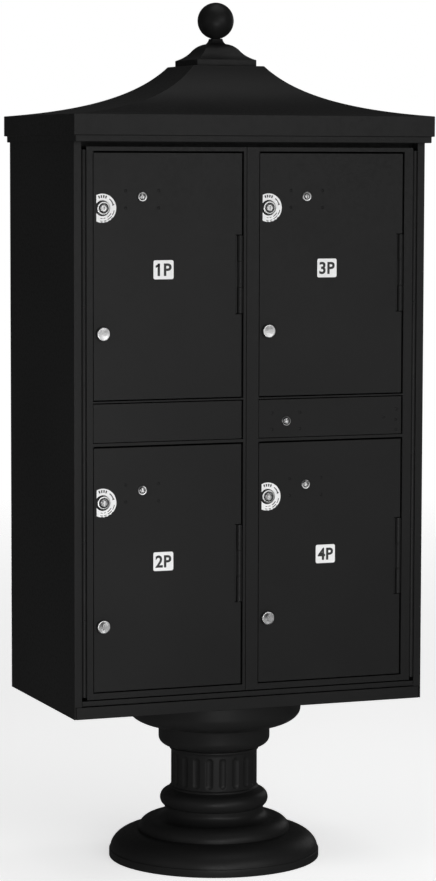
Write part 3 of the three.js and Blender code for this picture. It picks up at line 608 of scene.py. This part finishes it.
inner_line = [
    (FOOT_R - 8, 0),
    *quarter(150, 14, 62, 36, 0, 85, 10),
    (134, 72), (114, 81), (98, 95), (98, 117.5), (bore, SHAFT_FOOT - 16), (bore, ovolo_z - 12),
    (NECK_R - 4, ovolo_z + 4), (NECK_R - 4, neck_z + 8), (CAPITAL_R - 12, bowl_z - 4),
    (CAPITAL_R - 4, bowl_z + 8), (CAPITAL_R - 4, cover_top),
]
print("pedestal outline:", len(outer_line) + len(inner_line), "points")

# %% Fluted half shells
FLUTES = 20
FLUTE_R = 11
FLUTE_DEPTH = 3.2
FLUTE_LAND = 4  # plain shaft above and below the flutes
FLUTE_HALF = math.sqrt(FLUTE_R ** 2 - (FLUTE_R - FLUTE_DEPTH) ** 2)
HALF_STEPS = 240
SEAM = 0.15


def flute_depth(x, y, z):
    """Depth of the nearest flute at a point on the shaft."""
    pitch = FULL_TURN / FLUTES
    turn = math.atan2(y, x) / pitch - 0.5
    across = (turn - round(turn)) * pitch * SHAFT_R
    top, bottom = shaft_top - FLUTE_LAND - FLUTE_HALF, SHAFT_FOOT + FLUTE_LAND + FLUTE_HALF
    along = max(z - top, bottom - z, 0)
    reach = math.hypot(across, along)
    if reach >= FLUTE_HALF:
        return 0
    return math.sqrt(FLUTE_R ** 2 - reach ** 2) - (FLUTE_R - FLUTE_DEPTH)


for side, node in ((-1, "pedestal_cover_front"), (1, "pedestal_cover_rear")):
    bm = bmesh.new()
    wall = bm.faces.new([bm.verts.new((side * r, 0, z)) for r, z in outer_line + inner_line])
    bmesh.ops.spin(bm, geom=[wall, *wall.edges, *wall.verts], cent=(0, 0, 0), axis=(0, 0, 1),
                   angle=math.pi, steps=HALF_STEPS)
    bmesh.ops.recalc_face_normals(bm, faces=bm.faces)
    for v in bm.verts:
        x, y, z = v.co
        r = math.hypot(x, y)
        if abs(r - SHAFT_R) < 0.01:
            pressed = (r - flute_depth(x, y, z)) / r
            v.co = (x * pressed, y * pressed, z)
        if abs(v.co.y) < SEAM:
            v.co.y = side * SEAM
    cover = finished(bm, node + "_fluted", "cabinet", "black_coat", node)
    print(cover.name, len(cover.data.polygons), "faces")

# %% [markdown]
# ## Cutting holes
#
# Lock barrels and studs pass through real holes. A hole can be drawn with knife cuts or bridged
# loops. For a round hole in a flat sheet an exact Boolean is quicker, as long as its result is
# merged again afterwards. The cutters are ordinary shapes in the same millimetres.

# %% Shapes and cuts
def add_block(bm, x0, x1, y0, y1, z0, z1):
    """A block between two corners."""
    made = bmesh.ops.create_cube(bm, size=1)["verts"]
    bmesh.ops.scale(bm, vec=(x1 - x0, y1 - y0, z1 - z0), verts=made)
    bmesh.ops.translate(bm, vec=((x0 + x1) / 2, (y0 + y1) / 2, (z0 + z1) / 2), verts=made)


def add_bar(bm, x, z, radius, y0, y1, sides=64):
    """A round or many-sided bar along Y."""
    lie = Matrix.Translation((x, (y0 + y1) / 2, z)) @ Matrix.Rotation(math.pi / 2, 4, "X")
    bmesh.ops.create_cone(bm, cap_ends=True, segments=sides, radius1=radius, radius2=radius,
                          depth=y1 - y0, matrix=lie)


def cut_away(bm, cutter):
    """Takes one bmesh out of another and gives back the rest."""
    pair = []
    for part in (bm, cutter):
        mesh = bpy.data.meshes.new("cut")
        part.to_mesh(mesh)
        part.free()
        pair.append(bpy.data.objects.new("cut", mesh))
        bpy.context.scene.collection.objects.link(pair[-1])
    body, tool = pair
    boolean = body.modifiers.new("cut", "BOOLEAN")
    boolean.object = tool
    boolean.solver = "EXACT"
    rest = bmesh.new()
    rest.from_object(body, bpy.context.evaluated_depsgraph_get())
    for part in pair:
        mesh = part.data
        bpy.data.objects.remove(part)
        bpy.data.meshes.remove(mesh)
    bmesh.ops.remove_doubles(rest, verts=rest.verts, dist=0.002)
    bmesh.ops.dissolve_limit(rest, angle_limit=math.radians(1), verts=rest.verts, edges=rest.edges)
    return rest


# %% [markdown]
# ## Main doors
#
# Each large door is a frame with three windows: two for parcel doors and a band between them. Rubber
# buttons on the stop lips soften the parcel doors' landing. The frames are copies of their nodes with
# rounded folds. The buttons are new turned pieces, three to a lip.

# %% Main doors
DOOR_EDGE = 0.7
for side in ("left", "right"):
    softened(f"main_door_{side}", DOOR_EDGE)
    softened(f"middle_panel_{side}", DOOR_EDGE)
    for part in ("jamb_leaf", "door_leaf", "pin"):
        softened(f"main_hinge_{side}_{part}", 0.2)
print("main doors, middle panels and their hinges softened")

# %% Placing helpers
UP_TO_BACK = Matrix.Rotation(-math.pi / 2, 4, "X")  # a turned piece's height becomes depth into the door


def facing(bm, x, y, z):
    """Lays a turned piece on its back at a place on a door's face."""
    bmesh.ops.transform(bm, matrix=Matrix.Translation((x, y, z)) @ UP_TO_BACK, verts=bm.verts)
    return bm


def joined(parts):
    """Several bmeshes as one."""
    whole = bmesh.new()
    whole.loops.layers.uv.new("turned")
    for part in parts:
        mesh = bpy.data.meshes.new("part")
        part.to_mesh(mesh)
        part.free()
        whole.from_mesh(mesh)
        bpy.data.meshes.remove(mesh)
    return whole


doors = (1, 2, 3, 4)
face_y = box_mm("main_door_left")[0].y  # the plane of all the door faces
main_body = {n: "left_main" if n < 3 else "right_main" for n in doors}

# %% Rubber buttons
BUTTON = [(0, 0), (1.9, 0), (1.9, -5.5), (1.5, -6.4), (0, -6.6)]
BUTTON_IN = 4.7  # from the window's edge
lip_y = box_mm("main_door_left")[1].y - 3
for n in doors:
    low, high = box_mm(f"parcel_door_{n}")
    heights = [low.z + (high.z - low.z) * share for share in (0.12, 0.5, 0.88)]
    buttons = [facing(turned(BUTTON, 20), low.x - 1.5 + BUTTON_IN, lip_y, z) for z in heights]
    finished(joined(buttons), f"rubber_buttons_{n}", main_body[n], "black_print")
print("rubber buttons:", 3 * len(doors))

# %% [markdown]
# ## Parcel doors
#
# A parcel door is a shallow pan, folded back all round, with a notch for its hinge and holes for two
# locks and a knob. It could be a Solidify on a plane. Insetting the back of a block and pushing the
# middle in shows the same pan with its real wall and sheet, ready for the cutters.

# %% Parcel doors
DOOR_DEPTH = 12.5
DOOR_SHEET = 2.5
DOOR_RETURN = 2
NOTCH_W = 13.5
NOTCH_END = 1.5
USER_HOLE_R = 12.6
CARRIER_HOLE_R = 7.6
STUD_HOLE_R = 3.3


def folded_pan(low, high):
    """A pan between two corners, open towards +Y."""
    bm = bmesh.new()
    add_block(bm, low.x, high.x, face_y, face_y + DOOR_DEPTH, low.z, high.z)
    bm.normal_update()
    back = [f for f in bm.faces if f.normal.y > 0.9]
    bmesh.ops.inset_region(bm, faces=back, thickness=DOOR_RETURN, use_even_offset=True)
    pushed = bmesh.ops.extrude_face_region(bm, geom=back)["geom"]
    moved = [g for g in pushed if isinstance(g, bmesh.types.BMVert)]
    bmesh.ops.translate(bm, vec=(0, DOOR_SHEET - DOOR_DEPTH, 0), verts=moved)
    bmesh.ops.recalc_face_normals(bm, faces=bm.faces)
    return bm


for n in doors:
    low, high = box_mm(f"parcel_door_{n}")
    hinge_low, hinge_high = box_mm(f"parcel_hinge_{n}_pin")
    cutter = bmesh.new()
    add_block(cutter, high.x - NOTCH_W, high.x + 5, face_y - 5, face_y + DOOR_DEPTH + 5,
              hinge_low.z - NOTCH_END, hinge_high.z + NOTCH_END)
    for node, radius in (("customer_lock_{}_plug", USER_HOLE_R), ("carrier_lock_{}_rotor", CARRIER_HOLE_R),
                         ("pull_knob_{}", STUD_HOLE_R)):
        at = middle_mm(node.format(n))
        add_bar(cutter, at.x, at.z, radius, face_y - 5, face_y + DOOR_SHEET + 5)
    door = finished(cut_away(folded_pan(low, high), cutter), f"parcel_door_{n}_pan", f"parcel_{n}",
                    "black_coat", f"parcel_door_{n}")
    rounded(door, DOOR_EDGE)
    for part in ("door_leaf", "frame_leaf", "pin"):
        softened(f"parcel_hinge_{n}_{part}", 0.2)
    print(door.name, len(door.data.polygons), "faces")

# %% [markdown]
# ## Weld marks and hinge rivets
#
# Studs welded behind a thin sheet leave faint round marks on its face, four round each carrier lock
# and a column at the right end of the locking panel. A painted spot would do from afar. Low domes
# catch the light as the real marks do. Behind each door, four flat rivets hold the hinge leaf.

# %% Weld marks
MARK = [(0, -1.1), (1.4, -1.0), (2.6, -0.55), (3.4, 0.02)]
MARK_DX = 35.5
MARK_DZ = (-22.6, 12.4)


def weld_marks(places):
    return joined([facing(turned(MARK, 20), x, face_y, z) for x, z in places])


for n in doors:
    at = middle_mm(f"carrier_lock_{n}_rotor")
    marks = weld_marks([(at.x + dx, at.z + dz) for dx in (-MARK_DX, MARK_DX) for dz in MARK_DZ])
    finished(marks, f"weld_marks_{n}", f"parcel_{n}", "black_coat")
at = middle_mm("master_lock_rotor")
_, panel_high = box_mm("middle_panel_right")
PANEL_MARK_DX = 31
PANEL_MARK_DZ = 17
COLUMN_IN = 12  # from the panel's right end
COLUMN_DZ = (-26, -4, 18)
end_x = panel_high.x - COLUMN_IN
places = [(at.x + dx, at.z + dz) for dx in (-PANEL_MARK_DX, PANEL_MARK_DX)
          for dz in (-PANEL_MARK_DZ, PANEL_MARK_DZ)]
places += [(end_x, at.z + dz) for dz in COLUMN_DZ] + [(end_x - 29, at.z + 2)]
finished(weld_marks(places), "weld_marks_panel", "right_main", "black_coat")
print("weld marks:", 4 * len(doors) + len(places))

# %% Hinge rivets
RIVET = [(0, 1.6), (1.4, 1.5), (2.4, 1.0), (2.9, 0)]
LEAF_PLAY = 0.3
LEAF_T = 1.4
RIVET_IN = 10  # from the leaf's free edge
for n in doors:
    low, high = box_mm(f"parcel_hinge_{n}_door_leaf")
    leaf_back = face_y + DOOR_SHEET + LEAF_PLAY + LEAF_T
    heights = [low.z + (high.z - low.z) * share for share in (0.1, 0.37, 0.63, 0.9)]
    rivets = [facing(turned(RIVET, 20), low.x + RIVET_IN, leaf_back, z) for z in heights]
    finished(joined(rivets), f"hinge_rivets_{n}", f"parcel_{n}", "bright_zinc")
print("hinge rivets:", 4 * len(doors))

# %% [markdown]
# ## Pull knobs
#
# A small turned knob stands at the lower left of each parcel door, held by a nut behind the sheet.
# It is one profile spun round its own axis. Its face is dished a little, and its rim is rounded,
# which is what draws the bright line round it.

# %% Pull knobs
KNOB = [(0, -8.5), (8, -8.7), (11.6, -9.0), (12.9, -8.9), (13.7, -8.3), (14, -7.2), (14, -3.6), (13.6, -2.4),
        (12.6, -2), (9, -2), (9, -0.3), (3, -0.3), (3, 2.8), (6, 2.8), (6, 6.5), (5.6, 6.8), (0, 6.8)]
for n in doors:
    at = middle_mm(f"pull_knob_{n}")
    knob = finished(facing(turned(KNOB, 72), at.x, face_y, at.z), f"pull_knob_{n}_turned", f"parcel_{n}",
                    "brushed_steel", f"pull_knob_{n}")
    rounded(knob, 0.25)
print("pull knobs:", len(doors))

# %% [markdown]
# ## Locks
#
# Each lock has a bright sleeve let into the door, a plug that turns in it with a keyway, and a nut
# behind. The customers' locks also turn a brass cam that catches the frame. Sleeve and nut belong to
# the door, while plug and cam ride on the lock's own body, so that they turn with the key.

# %% Sleeves and nuts
FIT = 0.3


def sleeve(outer, mouth, bore, neck):
    """Ring on the door's face with a deep groove at its mouth, and the threaded barrel behind it."""
    return [(bore, 13.8), (bore, 1.5), (mouth - 0.3, 0.6), (mouth, -2.4), (mouth + 0.4, -2.8),
            (outer - 1.2, -3.0), (outer - 0.3, -2.5), (outer, -1.6), (outer, -0.05), (neck, -0.05),
            (neck, 13.4), (neck - 0.4, 13.8), (bore, 13.8)]


def lock_nut(x, z, radius, bore, y0, y1):
    """A hexagon nut with a round hole, its corners up and down."""
    nut, hole = bmesh.new(), bmesh.new()
    add_bar(nut, x, z, radius, y0, y1, 6)
    add_bar(hole, x, z, bore, y0 - 2, y1 + 2)
    return cut_away(nut, hole)


NUT_T = 5
MASTER_SLEEVE = (10, 6.6, 6.1, 8.9)
behind = face_y + DOOR_SHEET + FIT
# node, the sleeve's outer, mouth, bore and neck radii, and the nut's radius
lock_kinds = {
    "customer": ("customer_lock_{}_plug", (14, 10.2, 8.3, 12.4), 16),
    "carrier": ("carrier_lock_{}_rotor", (10, 6.6, 6.1, 7.4), 11.5),
}
for n in doors:
    for kind, (node, radii, nut_r) in lock_kinds.items():
        at = middle_mm(node.format(n))
        neck = radii[-1]
        ring = facing(turned(sleeve(*radii), 64), at.x, face_y, at.z)
        finished(ring, f"{kind}_sleeve_{n}", f"parcel_{n}", "brushed_steel")
        nut = finished(lock_nut(at.x, at.z, nut_r, neck + FIT, behind, behind + NUT_T), f"{kind}_nut_{n}",
                       f"parcel_{n}", "bright_zinc")
        rounded(nut, 0.5)
at = middle_mm("master_lock_rotor")
ring = facing(turned(sleeve(*MASTER_SLEEVE), 64), at.x, face_y, at.z)
finished(ring, "master_sleeve", "right_main", "brushed_steel")
print("sleeves:", 2 * len(doors) + 1)

# %% Plugs and keyways
KEYWAY_HALF_W = 1.3
KEYWAY_HALF_H = 3.6
KEYWAY_DEPTH = 4
USER_PLUG_R = 8
SMALL_PLUG_R = 5.8  # carrier and master locks
CAM_TAIL = 5.5


def plug(x, z, radius, length, tail):
    """A lock plug with a keyway, and a tail for a cam where it has one."""
    end = [(4, length), (4, length + tail), (0, length + tail)] if tail else [(0, length)]
    line = [(0, -3.4), (radius - 2.4, -3.6), (radius - 1.4, -4.4), (radius - 0.8, -5),
            (radius - 0.4, -4.9), (radius, -4.4), (radius, length), *end]
    slot = bmesh.new()
    add_block(slot, x - KEYWAY_HALF_W, x + KEYWAY_HALF_W, face_y - 6, face_y - 5 + KEYWAY_DEPTH,
              z - KEYWAY_HALF_H, z + KEYWAY_HALF_H)
    return cut_away(facing(turned(line, 48), x, face_y, z), slot)


for n in doors:
    low, high = box_mm(f"customer_lock_{n}_plug")
    at = (low + high) / 2
    bm = plug(at.x, at.z, USER_PLUG_R, high.y - face_y - CAM_TAIL, CAM_TAIL)
    finished(bm, f"customer_lock_{n}_plug_turned", f"customer_lock_{n}", "brushed_steel",
             f"customer_lock_{n}_plug")
    low, high = box_mm(f"carrier_lock_{n}_rotor")
    at = (low + high) / 2
    bm = plug(at.x, at.z, SMALL_PLUG_R, high.y - face_y, 0)
    rotor = finished(bm, f"carrier_lock_{n}_rotor_turned", f"carrier_lock_{n}", "brushed_steel",
                     f"carrier_lock_{n}_rotor")
    softened(f"customer_lock_{n}_cam", 0.25)
print(rotor.name, len(rotor.data.polygons), "faces")

# %% Master lock and latch bar
at = middle_mm("master_lock_rotor")
MASTER_SPLIT = 14  # behind the door's face: plug in front, toothed wheel behind
wheel = whole_mesh("master_lock_rotor")
cut = bmesh.ops.bisect_plane(wheel, geom=wheel.verts[:] + wheel.edges[:] + wheel.faces[:],
                             plane_co=(0, face_y + MASTER_SPLIT, 0), plane_no=(0, -1, 0), clear_outer=True)
edge_loop = [g for g in cut["geom_cut"] if isinstance(g, bmesh.types.BMEdge)]
bmesh.ops.contextual_create(wheel, geom=edge_loop)
wheel = finished(wheel, "master_lock_wheel", "master_lock", "brushed_steel", "master_lock_rotor")
rounded(wheel, 0.15)
finished(plug(at.x, at.z, SMALL_PLUG_R, MASTER_SPLIT - 0.05, 0), "master_lock_plug", "master_lock",
         "brushed_steel")
softened("latch_bar", 0.25)
print("master lock:", len(wheel.data.polygons), "faces on the wheel")

# %% [markdown]
# ## Labels and numbers
#
# A half-moon label beside each customer's lock shows which way the key turns, and a white plate
# carries the compartment's number. The moon is a spun ring cut by a plane. The direction marks are
# plain bars and an arrow, bent round the same centre. The numbers are text made into a mesh, and
# the 1 is given a small flag at its top.

# %% Half-moon labels
LABEL_R = 29.3
LABEL_HOLE_R = 16
LABEL_CUT = -13
LABEL_T = 0.3
PRINT_T = 0.12
LABEL_SHIFT = -2


def arc_band(r0, r1, start, stop):
    """A flat band round the origin in X and Z, angles in degrees from the right, upwards."""
    bm = bmesh.new()
    edge = [bm.verts.new((r, 0, 0)) for r in (r0, r1)]
    steps = max(3, round(abs(stop - start) / 4))
    bmesh.ops.spin(bm, geom=edge + [bm.edges.new(edge)], cent=(0, 0, 0), axis=(0, 0, 1),
                   angle=math.radians(stop - start), steps=steps, use_merge=abs(stop - start) >= 360)
    bmesh.ops.rotate(bm, verts=bm.verts, cent=(0, 0, 0), matrix=Matrix.Rotation(math.radians(start), 3, "Z"))
    return bm


def thickened(bm, thickness):
    """Pulls a flat shape up into a closed slab."""
    grown = bmesh.ops.extrude_face_region(bm, geom=bm.faces[:], use_keep_orig=True)["geom"]
    moved = [g for g in grown if isinstance(g, bmesh.types.BMVert)]
    bmesh.ops.translate(bm, vec=(0, 0, thickness), verts=moved)
    bmesh.ops.recalc_face_normals(bm, faces=bm.faces)
    return bm


def stuck_on(bm, x, y, z):
    """Stands a flat shape up against a door's face, its top towards the front."""
    upright = Matrix.Translation((x, y, z)) @ Matrix.Rotation(math.pi / 2, 4, "X")
    bmesh.ops.transform(bm, matrix=upright, verts=bm.verts)
    return bm


def arrow_head(radius, angle, size):
    bm = bmesh.new()
    bmesh.ops.create_circle(bm, cap_ends=True, segments=3, radius=size)
    turn = Matrix.Rotation(math.radians(angle), 4, "Z")
    bmesh.ops.transform(bm, matrix=turn @ Matrix.Translation((radius, 0, 0)), verts=bm.verts)
    return bm


for n in doors:
    at = middle_mm(f"customer_lock_{n}_plug")
    moon = arc_band(LABEL_HOLE_R, LABEL_R, 0, 360)
    bmesh.ops.bisect_plane(moon, geom=moon.verts[:] + moon.edges[:] + moon.faces[:],
                           plane_co=(LABEL_CUT, 0, 0), plane_no=(-1, 0, 0), clear_outer=True)
    moon = stuck_on(thickened(moon, LABEL_T), at.x + LABEL_SHIFT, face_y, at.z)
    finished(moon, f"turn_label_{n}", f"parcel_{n}", "white_label")
    marks = [arc_band(21, 26.5, a, a + 7) for a in (104, 92, 80, 68)]
    marks += [arc_band(22.8, 24.8, 22, 52), arrow_head(23.8, 18, 3.2)]
    marks += [arc_band(24.5, 26, a, a + 24) for a in (-34, -64)]
    marks += [arc_band(20, 21.5, -60, -30)]
    marks += [arc_band(r, r + 1.2, a, a + 12) for r in (20, 25.5) for a in (-84, -102)]
    marks += [arc_band(28.2, 29.2, a, a + 9) for a in (-50, -66, -82, -98)]
    marks = [stuck_on(thickened(mark, PRINT_T), at.x + LABEL_SHIFT, face_y - LABEL_T, at.z) for mark in marks]
    finished(joined(marks), f"turn_marks_{n}", f"parcel_{n}", "black_print")
print("turn labels:", len(doors), "with", len(marks), "marks each")

# %% Number plates
PLATE_W = 43.5
PLATE_H = 38.8
PLATE_T = 1.0
PLATE_CORNER_R = 4
PLATE_X = 150  # from the door's lower left corner
PLATE_Z = 263.5
TEXT_W = 34.5
TEXT_H = 25.5


def number_mesh(text):
    """A line of bold text as a flat bmesh, centred and stretched to the plate's lettering size."""
    curve = bpy.data.curves.new(text, "FONT")
    curve.body = text
    curve.offset = 0.028
    curve.space_character = 1.05
    writing = bpy.data.objects.new(text, curve)
    bpy.context.scene.collection.objects.link(writing)
    mesh = bpy.data.meshes.new_from_object(writing.evaluated_get(bpy.context.evaluated_depsgraph_get()))
    bm = bmesh.new()
    bm.from_mesh(mesh)
    bpy.data.objects.remove(writing)
    bpy.data.curves.remove(curve)
    bpy.data.meshes.remove(mesh)
    bmesh.ops.remove_doubles(bm, verts=bm.verts, dist=1e-5)
    if text.startswith("1"):
        top, left = max(v.co.y for v in bm.verts), min(v.co.x for v in bm.verts)
        flag = [(0.1, 0), (0.1, -0.16), (-0.12, -0.27), (-0.12, -0.13)]
        bm.faces.new([bm.verts.new((left + x, top + y, 0)) for x, y in reversed(flag)])
    xs, ys = [v.co.x for v in bm.verts], [v.co.y for v in bm.verts]
    bmesh.ops.translate(bm, vec=(-(min(xs) + max(xs)) / 2, -(min(ys) + max(ys)) / 2, 0), verts=bm.verts)
    bmesh.ops.scale(bm, vec=(TEXT_W / (max(xs) - min(xs)), TEXT_H / (max(ys) - min(ys)), 1), verts=bm.verts)
    return bm


for n in doors:
    low, _ = box_mm(f"parcel_door_{n}")
    x, z = low.x + PLATE_X, low.z + PLATE_Z
    plate = bmesh.new()
    add_block(plate, x - PLATE_W / 2, x + PLATE_W / 2, face_y - PLATE_T, face_y,
              z - PLATE_H / 2, z + PLATE_H / 2)
    corners = [e for e in plate.edges if abs((e.verts[0].co - e.verts[1].co).y) > PLATE_T / 2]
    bmesh.ops.bevel(plate, geom=corners, offset=PLATE_CORNER_R, offset_type="OFFSET", affect="EDGES",
                    segments=8, profile=0.5, material=-1)
    rounded(finished(plate, f"number_plate_{n}", f"parcel_{n}", "white_label"), 0.25)
    digits = stuck_on(thickened(number_mesh(f"{n}P"), PRINT_T), x, face_y - PLATE_T, z)
    finished(digits, f"number_{n}", f"parcel_{n}", "black_print")
print("number plates:", ", ".join(f"{n}P" for n in doors))

# %% [markdown]
# ## Fixings out of sight
#
# A row of blind rivets closes the back sheet, and four anchor bolts hold the post's foot. They are
# small turned pieces. They take a few lines and make the unit complete from every side.

# %% Back rivets
BACK_RIVET = [(0, 1.8), (1.5, 1.7), (3, 1.0), (3.6, 0)]
BACK_ROWS = 9
BACK_IN_X = 14  # from the sheet's side edges
BACK_IN_Z = 40  # from its top and bottom
low, high = box_mm("back_panel")
spots = []
for i in range(BACK_ROWS):
    z = low.z + BACK_IN_Z + (high.z - low.z - 2 * BACK_IN_Z) * i / (BACK_ROWS - 1)
    spots += [(low.x + BACK_IN_X, z), (high.x - BACK_IN_X, z)]
rivets = [facing(turned(BACK_RIVET, 20), x, high.y, z) for x, z in spots]
finished(joined(rivets), "back_rivets", "cabinet", "black_coat")
print("back rivets:", len(spots))

# %% Anchor bolts
ANCHOR_AT = 110
BOLT = [(0, 42), (5, 42), (6, 41), (6, 22), (9.5, 22), (9.5, 12.4), (14, 12.4), (14, 10.1), (6, 10.1),
        (6, 1), (0, 1)]
bolts = []
for x in (-ANCHOR_AT, ANCHOR_AT):
    for y in (-ANCHOR_AT, ANCHOR_AT):
        bolt = turned(BOLT, 24)
        bmesh.ops.translate(bolt, vec=(x, y, 0), verts=bolt.verts)
        bolts.append(bolt)
finished(joined(bolts), "anchor_bolts", "cabinet", "bright_zinc")
print("anchor bolts:", len(bolts))

# %% [markdown]
# ## Studio
#
# The floor is a plain pale disc that fades out before its rim, so that no horizon line shows. It
# glows a little, as a lit sweep of paper does, but the gloss of the black coat doesn't mirror it.
# Black satin is shaped by what it mirrors, so the surroundings are kept dim and large soft boxes do
# the work: one broad key in front, a weak fill on the left that leaves the side darker, a top light
# for the roof, a low one for the pedestal, and one behind for the far sides.

# %% Floor
FLOOR_R = 9
FLOOR_GLOW = 0.65
FADE_FROM = 2.0  # metres from the middle
FADE_TO = 7.0
floor_bm = bmesh.new()
bmesh.ops.create_circle(floor_bm, cap_ends=True, segments=96, radius=FLOOR_R)
floor_mesh = bpy.data.meshes.new("floor")
floor_bm.to_mesh(floor_mesh)
floor_bm.free()
floor = bpy.data.objects.new("floor", floor_mesh)
bpy.context.scene.collection.objects.link(floor)
floor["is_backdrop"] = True
floor.visible_glossy = False

paper = bpy.data.materials.new("pale_paper")
paper.use_nodes = True
tree = paper.node_tree
paper_shader = tree.nodes["Principled BSDF"]
paper_shader.inputs["Base Color"].default_value = (0.95, 0.95, 0.95, 1)
paper_shader.inputs["Roughness"].default_value = 0.9
paper_shader.inputs["Specular IOR Level"].default_value = 0.1
paper_shader.inputs["Emission Color"].default_value = (1, 1, 1, 1)
paper_shader.inputs["Emission Strength"].default_value = FLOOR_GLOW
distance = tree.nodes.new("ShaderNodeVectorMath")
distance.operation = "LENGTH"
tree.links.new(tree.nodes.new("ShaderNodeTexCoord").outputs["Object"], distance.inputs[0])
fade = spread(tree, distance.outputs["Value"], FADE_FROM, FADE_TO, 1.0, 0.0)
tree.links.new(fade, paper_shader.inputs["Alpha"])
floor_mesh.materials.append(paper)
print("floor radius:", FLOOR_R, "m")

# %% Surroundings
world = bpy.data.worlds.new("studio")
bpy.context.scene.world = world
world.use_nodes = True
tree = world.node_tree
seen = tree.nodes["Background"]
seen.inputs["Color"].default_value = (1, 1, 1, 1)
seen.inputs["Strength"].default_value = 1.0
lighting = tree.nodes.new("ShaderNodeBackground")
lighting.inputs["Color"].default_value = (1, 1, 1, 1)
lighting.inputs["Strength"].default_value = 0.05
either = tree.nodes.new("ShaderNodeMixShader")
tree.links.new(tree.nodes.new("ShaderNodeLightPath").outputs["Is Camera Ray"], either.inputs["Fac"])
tree.links.new(lighting.outputs["Background"], either.inputs[1])
tree.links.new(seen.outputs["Background"], either.inputs[2])
tree.links.new(either.outputs["Shader"], tree.nodes["World Output"].inputs["Surface"])
bpy.context.scene.view_settings.view_transform = "Standard"

# %% Soft boxes
def soft_box(name, place, aim, size, power):
    data = bpy.data.lights.new(name, "AREA")
    data.shape = "RECTANGLE"
    data.size, data.size_y = size
    data.energy = power
    light = bpy.data.objects.new(name, data)
    towards = Vector(aim) - Vector(place)
    light.matrix_world = Matrix.Translation(place) @ towards.to_track_quat("-Z", "Y").to_matrix().to_4x4()
    bpy.context.scene.collection.objects.link(light)


soft_box("key", (2.2, -6.5, 2.4), (0, 0, 0.8), (4.5, 3.5), 112)
soft_box("fill", (-5.5, -2.5, 2.2), (0, 0, 0.9), (2.5, 3.0), 14)
soft_box("top", (0.3, -0.5, 5.2), (0, 0, 1.0), (3.5, 3.5), 45)
soft_box("low", (-0.8, -3.2, 0.5), (0, 0, 0.2), (1.6, 0.8), 34)
soft_box("rear", (5.5, 3.6, 2.2), (0, 0, 0.9), (2.5, 2.5), 14)

# %% [markdown]
# ## Size and finish
#
# The dressed model must still be the size of the engineer's. Both boxes are written side by side.

# %% Sizes
visual_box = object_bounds()
for axis in range(3):
    cad_side = cad_box[1][axis] - cad_box[0][axis]
    visual_side = visual_box[1][axis] - visual_box[0][axis]
    print("xyz"[axis], "frame", round(cad_side, 4), "dressed", round(visual_side, 4))
